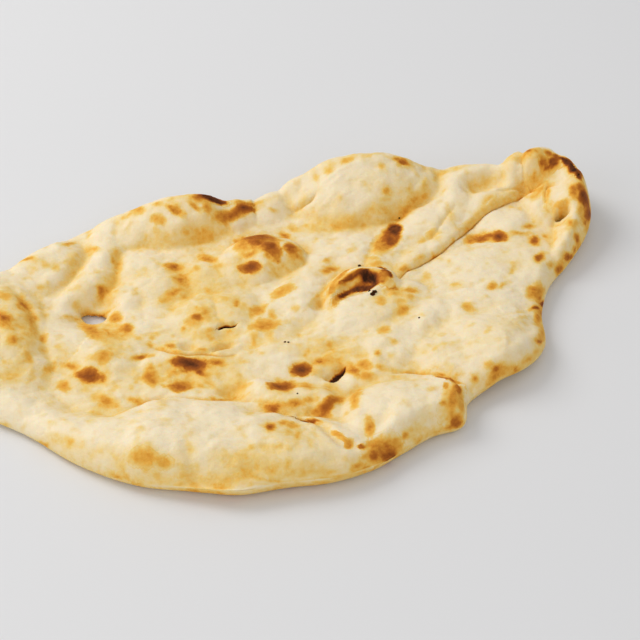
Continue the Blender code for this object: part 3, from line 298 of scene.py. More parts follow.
    # right of the lobe
    (62, -90, 2.4, 2.1, 56, 0.57), (72, -87, 2.2, 1.8, 77, 0.44), (55, -83, 2.7, 1.3, -29, 0.37), (50, -78, 3, 0.9, -34, 0.33),
    (76, -91, 4.2, 2.3, -6, 0.68), (73, -87, 2.4, 2.1, -32, 0.44),
    # right
    (127, 30, 7.7, 4.9, -26, 0.71), (121, 31, 4.6, 3.7, 35, 0.61), (137, 24, 5.4, 4.4, -78, 0.87), (132, 29, 6.6, 2.8, -41, 0.75),
    (150, 21, 6.8, 1.4, -13, 0.51), (160, 25, 4.7, 1.7, 8, 0.58), (166, 14, 2.3, 2.1, -62, 0.57), (157, 11, 5.2, 3, 78, 0.76),
    (150, -9, 4.8, 2.5, 49, 0.76), (156, -13, 2.8, 1.4, 23, 0.51), (90, -9, 3.8, 2.3, -42, 0.35), (109, -21, 3.3, 2.7, 42, 0.57),
    (115, -23, 3.4, 1.3, 20, 0.46), (86, -32, 4.5, 2.7, -73, 0.49), (77, 9, 2.7, 2.5, -87, 0.23), (74, -3, 6.8, 1.3, 64, 0.23),
    (96, 15, 2.2, 1.7, -78, 0.23), (129, -11, 4.5, 1, 33, 0.35),
    # tip
    (180, 67, 3.9, 1.8, -79, 0.71), (184, 65, 4.1, 1.9, 28, 0.47), (193, 63, 3.8, 2.1, -35, 0.71), (202, 52, 4.3, 2.3, -67, 0.93),
    (202, 44, 4.3, 2.4, 82, 0.93), (204, 39, 4.8, 2.3, 55, 0.81), (195, 28, 5.3, 4.3, 59, 0.65), (200, 23, 8, 4.2, 46, 0.91),
    (200, 29, 5.7, 3.2, 48, 0.71), (202, 18, 9.1, 3.3, 36, 0.84), (192, 15, 4.8, 2.7, 46, 0.51), (182, 9, 2.3, 1.9, -58, 0.58),
    (185, 7, 3.9, 1.8, 17, 0.44), (195, 11, 4.8, 1.8, 28, 0.64), (184, 0, 3.3, 2.2, -3, 0.7), (180, -4, 2.6, 1.5, 4, 0.64),
    (173, -9, 6.2, 2.5, 9, 0.76), (163, -16, 4.6, 3.2, -10, 0.71), (166, -13, 2.6, 1.8, -5, 0.51), (178, 57, 2.1, 0.9, -17, 0.49),
    (176, 56, 1.5, 0.9, -65, 0.51), (180, 57, 1.3, 0.9, -21, 0.57), (185, 57, 1.4, 0.9, -13, 0.57), (181, 41, 6.3, 1.4, 65, 0.46),
    (185, 27, 3.6, 0.9, -36, 0.51), (135, -33, 8.1, 5, 39, 0.58), (134, -30, 3.6, 2.6, 31, 0.71), (135, -36, 5.2, 2.8, 29, 0.7),
    (138, -40, 5.9, 2.4, 10, 0.91), (130, -45, 5.1, 1.8, 12, 0.84), (133, -47, 8.8, 4, 41, 0.57), (127, -54, 7.2, 3.3, 51, 0.61),
    (116, -75, 4.6, 1.5, 31, 0.87), (121, -67, 11.4, 3.4, 48, 0.51), (110, -83, 6.5, 1.1, 29, 0.44), (101, -88, 6.9, 1.2, 27, 0.51),
    (104, -62, 5.5, 2.8, 45, 0.19), (114, -55, 5.2, 2.1, 30, 0.23), (115, -48, 3.7, 1.8, 27, 0.26), (138, -26, 2.9, 1.8, 3, 0.35),
]

# The inside and the lips of the burst blister, the charred place at the tip, and a golden band along the long fold that
# is partly painted shade for the fold's shaded flank, patches laid one over another: (x, y, half length, half width,
# turn, tone)
PATCHES = [
    (32.4, 16.3, 13.3, 5, -7, 0.7), (32.1, 18.8, 8.8, 0.8, -1, 0.84), (40.3, 15.4, 5.8, 2.7, -36, 1), (27, 16.6, 7.3, 1.5, 9, 0.28),
    (33.2, 16.5, 2.5, 1, -7, 0.5), (28.7, 18.9, 8.2, 0.8, 5, 0.82), (43, 10.7, 4.5, 2.5, 76, 0.95), (-26.6, 117.7, 9.4, 2.8, -14, 0.93),
    (25.7, 24.8, 11.4, 2.5, 23, 0.5), (17.6, 20.3, 5.7, 1.8, 44, 0.46), (54.2, 24.3, 3.2, 1.3, -47, 0.9), (21.8, 12.5, 7, 1.5, 19, 0.88),
    (34.4, 11.4, 7.9, 2.2, -20, 0.9), (51, 11.7, 4.1, 2.2, -68, 0.93), (47.2, 9.4, 5.2, 4.2, 57, 0.6), (49.9, 4.4, 3, 2.3, 33, 0.36),
    (14.7, 15.2, 4.8, 2.5, 44, 0.5), (66.5, 48.2, 14.6, 7.9, 44, 0.52), (72.6, 51.9, 10.8, 6.4, 70, 0.72), (78.2, 57.9, 7.7, 4.7, 76, 0.9),
    (70.1, 48.2, 5, 2.6, 72, 0.8), (13.6, 6.4, 4.4, 2.2, 43, 0.5), (-33.2, -106, 7, 1.7, -70, 0.46), (-30.4, -114.1, 4.5, 2.5, 41, 0.5),
    (-23.9, -117.9, 2.6, 1.8, -32, 0.68), (-11.7, -124.3, 12.1, 9.7, -2, 0.46), (-11.2, -125.2, 11.1, 9, -32, 0.54),
    (-8.4, -127.6, 8.2, 5.9, -48, 0.64), (-18.6, -124.5, 2.9, 2.7, -18, 0.68), (-8.4, -127.6, 5.4, 2.5, -7, 0.74),
    (-6.3, -131.6, 3.4, 1.3, 35, 0.84), (-39.5, -83.3, 4.7, 0.8, -57, 0.7), (-143.3, -79.4, 7.7, 4.4, -32, 0.41),
    (-133.3, -86.7, 5.4, 3, -27, 0.42), (-141.8, -80.2, 5.3, 2.7, -30, 0.46), (41, -103.4, 16.3, 6.6, 51, 0.34),
    (43.2, -101.7, 12.9, 3.3, 56, 0.54), (41.6, -92.8, 3.3, 2, 65, 0.5), (33, -106.4, 1.9, 1.3, 2, 0.5), (45.4, -106.6, 9.6, 3.5, 72, 0.44),
    (39.2, -117.3, 6.4, 4.3, -8, 0.56), (38.4, -118.3, 3.8, 2.6, -23, 0.68), (45.3, -86.1, 9.1, 1.5, -61, 0.6),
    (48.4, -96.4, 4.3, 2.3, 68, 0.64), (136, 48, 17.1, 2, 17, 0.3), (161.4, 53.1, 13.1, 1, 12, 0.33), (179.8, 53.4, 4.8, 2.3, -12, 0.4),
    (180, 41.4, 6.1, 1.4, 65, 0.36), (201.6, 53.9, 5.7, 1.7, -72, 0.93), (202.4, 45.8, 5.2, 2.1, 89, 0.96),
    (202.3, 38.6, 3.4, 1.6, 83, 0.9), (191.5, 57.3, 7.3, 4, -22, 0.5), (186.8, 58.8, 3.3, 1.4, -4, 0.64), (193.9, 57.6, 3.1, 2.1, -7, 0.8),
    (189.4, 56, 3.3, 1, -9, 0.7), (197.8, 59.5, 3.5, 2.6, 51, 0.72),
]

# Golden areas, soft all round: golden dough, and painted shade on shaded flanks, in creases and hollows and along the
# near rim's lower side: (x, y, half length, half width, turn in degrees, strength)
GOLDEN_AND_PAINTED_SHADE = [
    # the blunt end
    (-184, 60, 24, 14, 72, 0.2), (-170, 56, 31, 5, 65, 0.2), (-193, 19, 13, 10, -8, 0.2), (-201, -18, 27, 6, -56, -0.12),
    (-130, 104, 25, 4, 41, 0.16), (-105, 92, 22, 4, 64, 0.2), (-128, 71, 11, 3, -9, 0.1), (-128, 38, 24, 12, -77, 0.25),
    (-80, 17, 9, 4, -29, 0.14), (-151, 17, 19, 11, -32, 0.08), (-150, 113, 13, 4, -14, 0.06),
    # far side: golden dough, with painted shade in the valley past the biggest bubble
    (-57, 107, 26, 6, -15, 0.07), (75, 83, 27, 12, -15, 0.09), (8, 54, 12, 4, 43, 0.16), (-130, 84, 24, 11, 54, 0.07),
    (-29, 63, 20, 5, -33, 0.1), (-2, 52, 10, 2, 6, 0.18), (30, 101, 8, 2, 9, 0.1), (67, 73, 34, 4, -9, 0.13), (37, 80, 23, 4, -21, 0.12),
    (115, 80, 10, 5, 44, 0.16), (104, 75, 15, 4, 13, 0.14), (95, 73, 11, 2, 10, 0.08), (60, 74, 30, 2, -10, 0.1),
    (130, 58, 31, 4, 17, 0.08), (-2, 115, 20, 3, -13, 0.2), (66, 113, 20, 5, -16, 0.16), (128, 93, 21, 4, -13, 0.2),
    (-80, 132, 16, 4, -18, 0.12), (-45, 122, 16, 3, -22, 0.14),
    # the tip: golden dough, with painted shade in the valley under the knob
    (190, 63, 13, 3, -22, 0.12), (180, 67, 10, 3, -44, 0.16), (151, 73, 17, 3, -14, 0.08), (177, 58, 8, 3, -30, -0.06),
    (171, 60, 27, 15, -6, 0.05), (181, 43, 8, 4, 73, 0.16), (184, 27, 4, 1, -40, 0.3), (156, 59, 14, 4, -2, 0.1),
    (198, 20, 16, 5, 73, 0.22), (140, -1, 28, 13, 18, 0.05), (134, -38, 22, 6, 60, 0.12),
    # the fold: painted shade along the fold's shaded band, with golden dough
    (135, 49, 20, 2, 20, 0.26), (147, 51, 23, 1, 15, 0.24), (182, 53, 2, 1, -40, 0.2), (97, 31, 24, 1, 24, 0.06),
    # right side
    (78, -94, 22, 2, 21, 0.16), (41, -72, 18, 1, -35, 0.06), (58, -66, 21, 11, -40, 0.03), (90, -67, 20, 16, 12, 0.08),
    # near rim: golden dough, with painted shade on its lower, downward-facing side
    (-11, -127, 15, 6, 0, 0.2), (-36, -133, 22, 2, -4, 0.2), (-91, -107, 53, 10, -19, 0.1), (-159, -81, 29, 3, -37, 0.05),
    (-94, -114, 55, 7, -18, 0.1), (-69, -130, 33, 1, -10, 0.12), (-108, -112, 24, 5, -28, 0.16), (-84, -123, 17, 1, -22, 0.16),
    (-60, -132, 20, 0, -14, 0.16), (-183, -43, 11, 3, -51, 0.12), (-54, -104, 26, 20, -48, 0.1), (-140, -81, 15, 5, -29, 0.16),
    (-121, -90, 14, 8, 55, 0.1),
    # middle: golden dough, with painted shade in the hollow by the dark tear
    (-86, -10, 27, 22, -28, 0.16), (-64, 24, 21, 14, -25, 0.16), (-67, 58, 22, 21, 73, 0.18), (-42, 33, 26, 11, 67, 0.1),
    (-35, 6, 18, 15, 77, 0.06), (-71, -35, 9, 4, -19, 0.06), (51, 30, 13, 3, -11, 0.1), (49, -12, 16, 14, 29, 0.14),
    (68, 27, 17, 3, 20, 0.06), (5, -51, 18, 10, -33, 0.1), (-11, -28, 24, 10, -25, 0.15), (-11, -40, 7, 5, 20, 0.3),
    (-151, -22, 20, 11, -63, 0.12), (-143, 0, 21, 11, -25, 0.12), (-33, -62, 24, 10, -14, 0.14), (8, 16, 11, 3, 31, 0.12),
    (55, 5, 13, 4, 62, 0.14), (-99, 77, 17, 14, -49, 0.08), (-47, 61, 23, 9, -28, 0.1),
]

# Burnt crumbs on the top: (x, y, size)
FLECKS = [(36, 1, 3.4), (38, 2, 3.6), (36, 5, 2.2), (86, 68, 1.5), (42, 34, 2.2), (54, -30, 1.6), (-29, -13, 1.6), (-27, -14, 1.5), (-40, -60, 1.4), (203, 39, 1.5)]


def hash01(i, j, seed):
    """A repeatable number from 0 to 1 for each pair of whole numbers."""
    h = (i.astype(np.int64) * 374761393 + j.astype(np.int64) * 668265263 + seed * 974634777) & 0xFFFFFFFF
    h = ((h ^ (h >> 13)) * 1274126177) & 0xFFFFFFFF
    h = ((h ^ (h >> 15)) * 2246822519) & 0xFFFFFFFF
    return ((h ^ (h >> 16)) & 0xFFFFFF) / float(0x1000000)


def noise(x, y, size, seed):
    """Smooth gradient noise, about -0.7 to 0.7, with lumps of the given size."""
    x, y = x / size, y / size
    i, j = np.floor(x), np.floor(y)
    u, v = x - i, y - j
    fu, fv = u * u * u * (u * (u * 6 - 15) + 10), v * v * v * (v * (v * 6 - 15) + 10)
    total = 0.0
    for di in (0, 1):
        for dj in (0, 1):
            a = hash01(i + di, j + dj, seed) * 2 * np.pi
            g = np.cos(a) * (u - di) + np.sin(a) * (v - dj)
            total = total + g * (fu if di else 1 - fu) * (fv if dj else 1 - fv)
    return total * 1.4


def loop_curve(stations, count):
    """A smooth closed curve through the stations: every column is interpolated, at count even steps of length."""
    p = np.array(stations, float)
    q = np.vstack([p[-1:], p, p[:2]])
    t = np.concatenate([[0], np.cumsum(np.sqrt(np.hypot(*np.diff(q[:, :2], axis=0).T)))])
    fine = []
    for k in range(1, len(q) - 2):
        d0, d1, d2 = t[k] - t[k - 1], t[k + 1] - t[k], t[k + 2] - t[k + 1]
        m1 = ((q[k] - q[k - 1]) / d0 * d1 + (q[k + 1] - q[k]) / d1 * d0) / (d0 + d1) * d1
        m2 = ((q[k + 1] - q[k]) / d1 * d2 + (q[k + 2] - q[k + 1]) / d2 * d1) / (d1 + d2) * d1
        s = np.linspace(0, 1, 60, endpoint=False)[:, None]
        fine.append((2 * s**3 - 3 * s**2 + 1) * q[k] + (s**3 - 2 * s**2 + s) * m1 + (3 * s**2 - 2 * s**3) * q[k + 1] + (s**3 - s**2) * m2)
    fine = np.vstack(fine)
    closed = np.vstack([fine, fine[:1]])
    along = np.concatenate([[0], np.cumsum(np.hypot(*np.diff(closed[:, :2], axis=0).T))])
    at = np.linspace(0, along[-1], count, endpoint=False)
    return np.stack([np.interp(at, along, closed[:, c]) for c in range(closed.shape[1])], axis=1), along[-1]


def outward(loop):
    """Unit vectors across a loop that runs counter-clockwise, pointing out of it."""
    d = np.roll(loop[:, :2], -1, axis=0) - np.roll(loop[:, :2], 1, axis=0)
    d /= np.hypot(*d.T)[:, None]
    return np.stack([d[:, 1], -d[:, 0]], axis=1)


def near_path(xy, path):
    """For each point the nearest place on an open path: distance, signed side distance, share of the length, interpolated columns."""
    path = np.array(path, float)
    best = np.full(len(xy), 1e9)
    side = np.zeros(len(xy))
    share = np.zeros(len(xy))
    cols = np.zeros((len(xy), path.shape[1]))
    direction = np.zeros((len(xy), 2))
    lengths = np.hypot(*np.diff(path[:, :2], axis=0).T)
    before = np.concatenate([[0], np.cumsum(lengths)])
    for k in range(len(path) - 1):
        a, b = path[k], path[k + 1]
        d = (b - a)[:2]
        s = np.clip(((xy - a[:2]) @ d) / max(d @ d, 1e-9), 0, 1)
        off = xy - (a[:2] + s[:, None] * d)
        r = np.hypot(*off.T)
        closer = r < best
        best = np.where(closer, r, best)
        n = np.array([-d[1], d[0]]) / max(np.hypot(*d), 1e-9)
        across = off @ n
        side = np.where(closer, np.sign(across + 1e-12) * r, side)
        share = np.where(closer, (before[k] + s * lengths[k]) / before[-1], share)
        cols[closer] = (a + s[:, None] * (b - a))[closer]
        direction[closer] = n
    return best, side, share, cols, direction


def refine(path, steps=8):
    """A smooth open curve through a path's nodes."""
    p = np.array(path, float)
    if len(p) < 3:
        return p
    q = np.vstack([2 * p[0] - p[1], p, 2 * p[-1] - p[-2]])
    out = []
    for k in range(1, len(q) - 2):
        for s in np.linspace(0, 1, steps, endpoint=False):
            out.append(0.5 * (2 * q[k] + (q[k + 1] - q[k - 1]) * s + (2 * q[k - 1] - 5 * q[k] + 4 * q[k + 1] - q[k + 2]) * s**2 + (3 * q[k] - q[k - 1] - 3 * q[k + 1] + q[k + 2]) * s**3))
    out.append(p[-1])
    return np.array(out)


def puff(xy, spine, softness):
    """Height of one blown-up pocket: a dome along a spine of (x, y, radius, height) nodes."""
    spine = np.array(spine, float)
    nodes = spine if len(spine) == 1 else refine(spine, 16)
    reach = nodes[:, 2].max() + 2
    lo, hi = nodes[:, :2].min(0) - reach, nodes[:, :2].max(0) + reach
    found = np.flatnonzero(((xy > lo) & (xy < hi)).all(1))
    out = np.zeros(len(xy))
    at = xy[found]
    ratio, high = np.full(len(at), 9.0), np.zeros(len(at))
    for x, y, radius, height in nodes:
        r = np.hypot(at[:, 0] - x, at[:, 1] - y) / radius
        high = np.where(r < ratio, height, high)
        ratio = np.minimum(r, ratio)
    out[found] = high * np.clip(1 - ratio**2, 0, 1) ** softness
    return out


def merge(a, b, soft):
    """The higher of two reliefs, with a small fillet where they meet."""
    k = np.maximum(np.minimum(np.minimum(a, b), soft), 1e-6)
    h = np.clip(k - np.abs(a - b), 0, None) / k
    return np.maximum(a, b) + h * h * k * 0.25


def fade(share, ends):
    """1 along the middle of a path, falling to 0 at both ends."""
    return np.clip(np.minimum(share, 1 - share) / ends, 0, 1) ** 0.7


def edge_of(xy, loop, columns):
    """Distance from each point to a closed loop (positive inside a counter-clockwise one), the nearest columns and the way in."""
    out_d = np.empty(len(xy))
    out_c = np.empty((len(xy), len(columns)))
    out_n = np.empty((len(xy), 2))
    nxt = np.roll(loop, -1, axis=0)
    d = (nxt - loop)[:, :2]
    dd = (d * d).sum(1)
    normal = -outward(loop)
    for start in range(0, len(xy), 4000):
        p = xy[start : start + 4000]
        near = np.argmin(((p[:, None, :] - loop[None, :, :2]) ** 2).sum(2), axis=1)
        best = np.full(len(p), 1e9)
        cols, n, sign = np.zeros((len(p), len(columns))), np.zeros((len(p), 2)), np.ones(len(p))
        for step in (-1, 0):
            k = (near + step) % len(loop)
            k2 = (k + 1) % len(loop)
            s = np.clip(((p - loop[k, :2]) * d[k]).sum(1) / dd[k], 0, 1)[:, None]
            off = p - (loop[k, :2] + s * d[k])
            r = np.hypot(*off.T)
            closer = r < best
            best = np.where(closer, r, best)
            mixed = normal[k] * (1 - s) + normal[k2] * s
            n[closer] = mixed[closer]
            inside = (off * mixed).sum(1)
            sign = np.where(closer, np.sign(inside + 1e-12), sign)
            value = loop[k][:, columns] * (1 - s) + loop[k2][:, columns] * s
            cols[closer] = value[closer]
        out_d[start : start + 4000] = best * sign
        out_c[start : start + 4000] = cols
        out_n[start : start + 4000] = n / np.maximum(np.hypot(*n.T), 1e-9)[:, None]
    return out_d, out_c, out_n


def inside_loop(xy, loop):
    """True for points inside a closed loop."""
    x, y = xy[:, 0], xy[:, 1]
    odd = np.zeros(len(xy), bool)
    x0, y0 = loop[:, 0], loop[:, 1]
    x1, y1 = np.roll(x0, -1), np.roll(y0, -1)
    for a, b, c, d in zip(x0, y0, x1, y1):
        if b != d:
            odd ^= ((b > y) != (d > y)) & (x < (c - a) * (y - b) / (d - b) + a)
    return odd


def make_edges(loop_step, hole_step):
    """The plan's loops: the outer edge, and each hole, as (true loop, drawn loop) where the drawn one is spread outwards so that the rim can roll back in."""
    rough, length = loop_curve(EDGE, 400)
    loop, _ = loop_curve(EDGE, max(60, int(length / loop_step)))
    spread = outward(loop)
    for _ in range(2):
        spread = (np.roll(spread, 1, axis=0) + spread * 2 + np.roll(spread, -1, axis=0)) / 4
    drawn = loop.copy()
    drawn[:, :2] += spread * (loop[:, 3] * ROLL_SPREAD)[:, None]
    edges = [(loop, drawn)]
    for x, y, long_r, short_r, turn, reach in HOLES:
        count = max(10, int(2 * np.pi * (long_r + short_r) / 2 / hole_step))
        a = np.linspace(0, 2 * np.pi, count, endpoint=False)
        wobble = 1 + 0.12 * np.sin(2 * a + x) + 0.08 * np.sin(3 * a + y)
        c, s = np.cos(np.radians(turn)), np.sin(np.radians(turn))
        u, v = long_r * wobble * np.cos(a), short_r * wobble * np.sin(a)
        hole = np.stack([x + c * u - s * v, y + s * u + c * v], axis=1)
        inner = hole - outward(hole) * min(reach * ROLL_SPREAD, 0.45 * short_r)
        edges.append((hole, inner))
    return edges


def fill_points(edges, step, clear):
    """A hexagonal field of points inside the drawn loops, kept clear of them."""
    outer = edges[0][1][:, :2]
    lo, hi = outer.min(0), outer.max(0)
    rows = np.arange(lo[1], hi[1], step * np.sqrt(3) / 2)
    pts = np.vstack([np.stack([np.arange(lo[0] + (k % 2) * step / 2, hi[0], step), np.full(len(np.arange(lo[0] + (k % 2) * step / 2, hi[0], step)), y)], axis=1) for k, y in enumerate(rows)])
    pts = pts[inside_loop(pts, outer)]
    dist, _, _ = edge_of(pts, outer, [0])
    pts = pts[dist > clear]
    for _, inner in edges[1:]:
        c = inner.mean(0)
        near = np.hypot(*(pts - c).T) < np.hypot(*(inner - c).T).max() + 3 * step
        keep = np.ones(len(pts), bool)
        sub = pts[near]
        dist, _, _ = edge_of(sub, inner, [0])
        keep[near] = (~inside_loop(sub, inner)) & (np.abs(dist) > clear)
        pts = pts[keep]
    return pts


def crease_points(points, edges, step):
    """The points, with those beside each narrow crease replaced by rows that run along it."""
    outer = edges[0][1][:, :2]
    for _, width, _, _, _, path in CREASES:
        if width > 2.2:
            continue
        nodes = refine(path, 16)[:, :2]
        along = np.concatenate([[0], np.cumsum(np.hypot(*np.diff(nodes, axis=0).T))])
        at = np.arange(0, along[-1], 0.8 * step)
        line = np.stack([np.interp(at, along, nodes[:, c]) for c in (0, 1)], axis=1)
        ahead = np.gradient(line, axis=0)
        across = np.stack([-ahead[:, 1], ahead[:, 0]], axis=1) / np.hypot(*ahead.T)[:, None]
        rows = np.vstack([line + across * (share * width) for share in (-2.2, -1.3, -0.75, -0.35, 0, 0.35, 0.75, 1.3, 2.2, 3.2)])
        reach = 3.2 * width + 0.5 * step
        near = (np.abs(points - line.mean(0)) < np.ptp(line, axis=0).max() + reach).all(1)
        far, _, _, _, _ = near_path(points[near], line)
        keep = np.ones(len(points), bool)
        keep[near] = far > reach
        points = points[keep]
        gap, _, _, _, _ = near_path(rows, line)
        rows = rows[(gap > 0) | (np.arange(len(rows)) // len(line) == 4)]
        rows = rows[inside_loop(rows, outer)]
        inside, _, _ = edge_of(rows, outer, [0])
        rows = rows[inside > step]
        for _, inner in edges[1:]:
            away, _, _ = edge_of(rows, inner, [0])
            rows = rows[(np.abs(away) > 0.5 * step) & ~inside_loop(rows, inner)]
        points = np.vstack([points, rows])
    # no two points closer than a tenth of a step
    cell = np.round(points / (0.25 * step)).astype(int)
    _, first = np.unique(cell, axis=0, return_index=True)
    return points[np.sort(first)]


def triangulate(edges, points):
    """Delaunay triangles over the loops and the points, inside the plan. The loops' points come first."""
    loops = [e[1][:, :2] for e in edges]
    links, start = [], 0
    for lp in loops:
        n = len(lp)
        links += [(start + k, start + (k + 1) % n) for k in range(n)]
        start += n
    every = np.vstack(loops + [points])
    found = geometry.delaunay_2d_cdt([Vector(p) for p in every.tolist()], links, [], 0, 1e-6)
    if len(found[0]) != len(every):
        raise RuntimeError("two plan points coincide")
    tri = np.array(found[2], int)
    mid = every[tri].mean(1)
    keep = inside_loop(mid, loops[0])
    for lp in loops[1:]:
        keep &= ~inside_loop(mid, lp)
    tri = tri[keep]
    a, b, c = (every[tri[:, k]] for k in range(3))
    turned = ((b - a)[:, 0] * (c - a)[:, 1] - (b - a)[:, 1] * (c - a)[:, 0]) < 0
    tri[turned] = tri[turned][:, ::-1]
    return every, tri, start


def relief(xy, grain):
    """Height of the top above the dough's own thickness: the blown pockets, wide swells, small blisters, dents and
    burst blisters.
    """
    big = np.zeros(len(xy))
    warp = np.stack([noise(xy[:, 0], xy[:, 1], 34, 3), noise(xy[:, 0], xy[:, 1], 34, 4)], axis=1) * 5.0
    warp += np.stack([noise(xy[:, 0], xy[:, 1], 13, 5), noise(xy[:, 0], xy[:, 1], 13, 6)], axis=1) * 1.6
    at = xy + warp
    for softness, spine in PUFFS:
        big = merge(big, puff(at, spine, softness), 5.0)
    top = big + swell(xy, SWELLS)
    for softness, spine in BLISTERS:
        top = top + puff(at, spine, softness)
    for x, y, long_r, short_r, turn, depth in DENTS:
        if short_r < grain - 1:
            continue
        c, s = np.cos(np.radians(turn)), np.sin(np.radians(turn))
        u = ((at[:, 0] - x) * c + (at[:, 1] - y) * s) / long_r
        v = (-(at[:, 0] - x) * s + (at[:, 1] - y) * c) / short_r
        top = top - depth * np.exp(-((u * u + v * v) ** 1.3))
    for x, y, long_r, short_r, turn, depth, lip, lip_width in CRATERS:
        near = np.flatnonzero(np.hypot(xy[:, 0] - x, xy[:, 1] - y) < 2.5 * long_r)
        c, s = np.cos(np.radians(turn)), np.sin(np.radians(turn))
        u = ((at[near, 0] - x) * c + (at[near, 1] - y) * s) / long_r
        v = (-(at[near, 0] - x) * s + (at[near, 1] - y) * c) / short_r
        ratio = np.hypot(u, v)
        back = 0.55 + 0.45 * v / np.maximum(ratio, 0.3)
        top[near] += lip * back * np.exp(-(((ratio - 1.15) / lip_width) ** 2)) - depth * np.exp(-(ratio**4))
    return top


def folds(xy, grain):
    """What creases add: (height, sideways shift). The dough on the left of a crease's path is rolled over it. Nothing is made finer than grain."""
    high, shift = np.zeros(len(xy)), np.zeros((len(xy), 2))
    for depth, width, roll, roll_width, over, path in CREASES:
        width = max(width, grain)
        over = over if grain < 2 else 0
        nodes = refine(path)
        reach = 4 * max(width, roll_width)
        lo, hi = nodes[:, :2].min(0) - reach, nodes[:, :2].max(0) + reach
        k = np.flatnonzero(((xy > lo) & (xy < hi)).all(1))
        if not len(k):
            continue
        r, side, share, _, across = near_path(xy[k], nodes)
        end = fade(share, 0.22) * np.clip(1.6 - r / reach, 0, 1)
        high[k] -= depth * end * np.exp(-((r / width) ** (1.4 if width < 2.5 else 2)))
        up = np.clip(side, 0, 6 * roll_width)
        high[k] += roll * end * (1 - np.exp(-((up / (1.1 * width)) ** 1.5))) * np.exp(-((up / roll_width) ** 2))
        shift[k] -= across * (over * end * (up / width * np.exp(1 - up / width)))[:, None]
    return high, shift


def swell(xy, rows):
    """Sum of wide soft mounds (x, y, radius, height)."""
    out = np.zeros(len(xy))
    for x, y, radius, height in rows:
        r2 = ((xy[:, 0] - x) ** 2 + (xy[:, 1] - y) ** 2) / radius**2
        out += height * np.exp(-r2)
    return out


def surfaces(xy, edges, grain):
    """The two skins over plan points xy: (top xyz, bottom xyz, extras)."""
    loop, drawn = edges[0]
    dist, cols, way_in = edge_of(xy, drawn, [2, 3, 4])
    eq, reach, under = cols.T
    dist = np.maximum(dist, 0)
    lift = swell(xy, LIFTS)
    top = THICK + relief(xy, grain)
    extra, shift = folds(xy, grain)
    top = top + extra
    rough = noise(xy[:, 0], xy[:, 1], 30, 11) * 1.6 + noise(xy[:, 0], xy[:, 1], 14, 12) * 0.7
    if grain < 2:
        rough = rough + noise(xy[:, 0], xy[:, 1], 6.5, 13) * 0.4 + noise(xy[:, 0], xy[:, 1], 3.1, 14) * 0.2
        bent = xy[:, 1] + noise(xy[:, 0], xy[:, 1], 40, 15) * 14
        rough = rough + noise(xy[:, 0] / 3.2, bent, 8, 16) * 0.6 + noise(xy[:, 0] / 2.6, bent, 4, 17) * 0.32
    top = np.maximum(top + rough, LEAST)
    turn = np.clip(dist / (reach * np.pi / 2), 0, 1) * np.pi / 2
    curve = np.sin(turn)
    inset = reach * (1 - np.cos(turn))
    slide = np.where(turn < np.pi / 2, inset - (dist - reach * ROLL_SPREAD), 0)
    low_reach = reach * under
    low_turn = np.clip(dist / (low_reach + reach * ROLL_SPREAD), 0, 1) * np.pi / 2
    low_curve = np.sin(low_turn)
    low_inset = low_reach * (1 - np.cos(low_turn))
    low_slide = np.where(low_turn < np.pi / 2, low_inset - (dist - reach * ROLL_SPREAD), 0)
    level = lift + eq
    z_top = level + (lift + top - level) * curve
    under_side = noise(xy[:, 0], xy[:, 1], 30, 21) * 1.6 + noise(xy[:, 0], xy[:, 1], 12, 22) * 0.6
    for x, y, radius in RESTS:
        under_side = under_side - 2.5 * np.exp(-(((xy[:, 0] - x) ** 2 + (xy[:, 1] - y) ** 2) / radius**2) ** 2)
    floor = np.maximum(lift + under_side - 0.2, 0)
    z_low = level + (floor - level) * low_curve
    top_xy = xy + way_in * slide[:, None] + shift * (curve[:, None] ** 2)
    low_xy = xy + way_in * low_slide[:, None]
    for (x, y, long_r, short_r, _, hreach), (hole, inner) in zip(HOLES, edges[1:]):
        near = np.flatnonzero(np.hypot(xy[:, 0] - x, xy[:, 1] - y) < long_r + 3 * hreach + 4)
        if not len(near):
            continue
        d, _, n = edge_of(xy[near], inner, [0])
        d, n = np.abs(d), -n
        gap = min(hreach * ROLL_SPREAD, 0.45 * short_r)
        t = np.clip(d / (hreach + gap), 0, 1) * np.pi / 2
        move = np.where(t < np.pi / 2, hreach * (1 - np.cos(t)) - (d - gap), 0)
        middle = 0.5 * (z_top[near] + z_low[near])
        z_top[near] = middle + (z_top[near] - middle) * np.sin(t)
        z_low[near] = middle + (z_low[near] - middle) * np.sin(t)
        top_xy[near] += n * move[:, None]
        low_xy[near] += n * move[:, None]
    return top_xy, z_top, low_xy, z_low, dist


def bread_mesh(top_step, low_step, loop_step, hole_step, grain):
    """(points, triangles, plan points, is_top) of the closed skin, in millimetres."""
    edges = make_edges(loop_step, hole_step)
    field = fill_points(edges, top_step, 0.6 * min(top_step, loop_step))
    if grain < 2:
        field = crease_points(field, edges, top_step)
    top_plan, top_tri, shared = triangulate(edges, field)
    low_plan, low_tri, _ = triangulate(edges, fill_points(edges, low_step, 0.7 * low_step))
    txy, tz, _, _, _ = surfaces(top_plan, edges, grain)
    _, _, lxy, lz, _ = surfaces(low_plan, edges, grain)
    lxy[:shared], lz[:shared] = txy[:shared], tz[:shared]
    top = np.column_stack([txy, tz])
    low = np.column_stack([lxy, lz])[shared:]
    low_tri = low_tri[:, ::-1].copy()
    index = np.concatenate([np.arange(shared), np.arange(shared, len(low_plan)) - shared + len(top_plan)])
    tri = np.vstack([top_tri, index[low_tri]])
    points = np.vstack([top, low])
    plan = np.vstack([top_plan, low_plan[shared:]])
    is_top = np.concatenate([np.ones(len(top_plan), bool), np.zeros(len(low_plan) - shared, bool)])
    points[:, 0] -= CENTRE[0]
    points[:, 1] -= CENTRE[1]
    return points, tri, plan, is_top


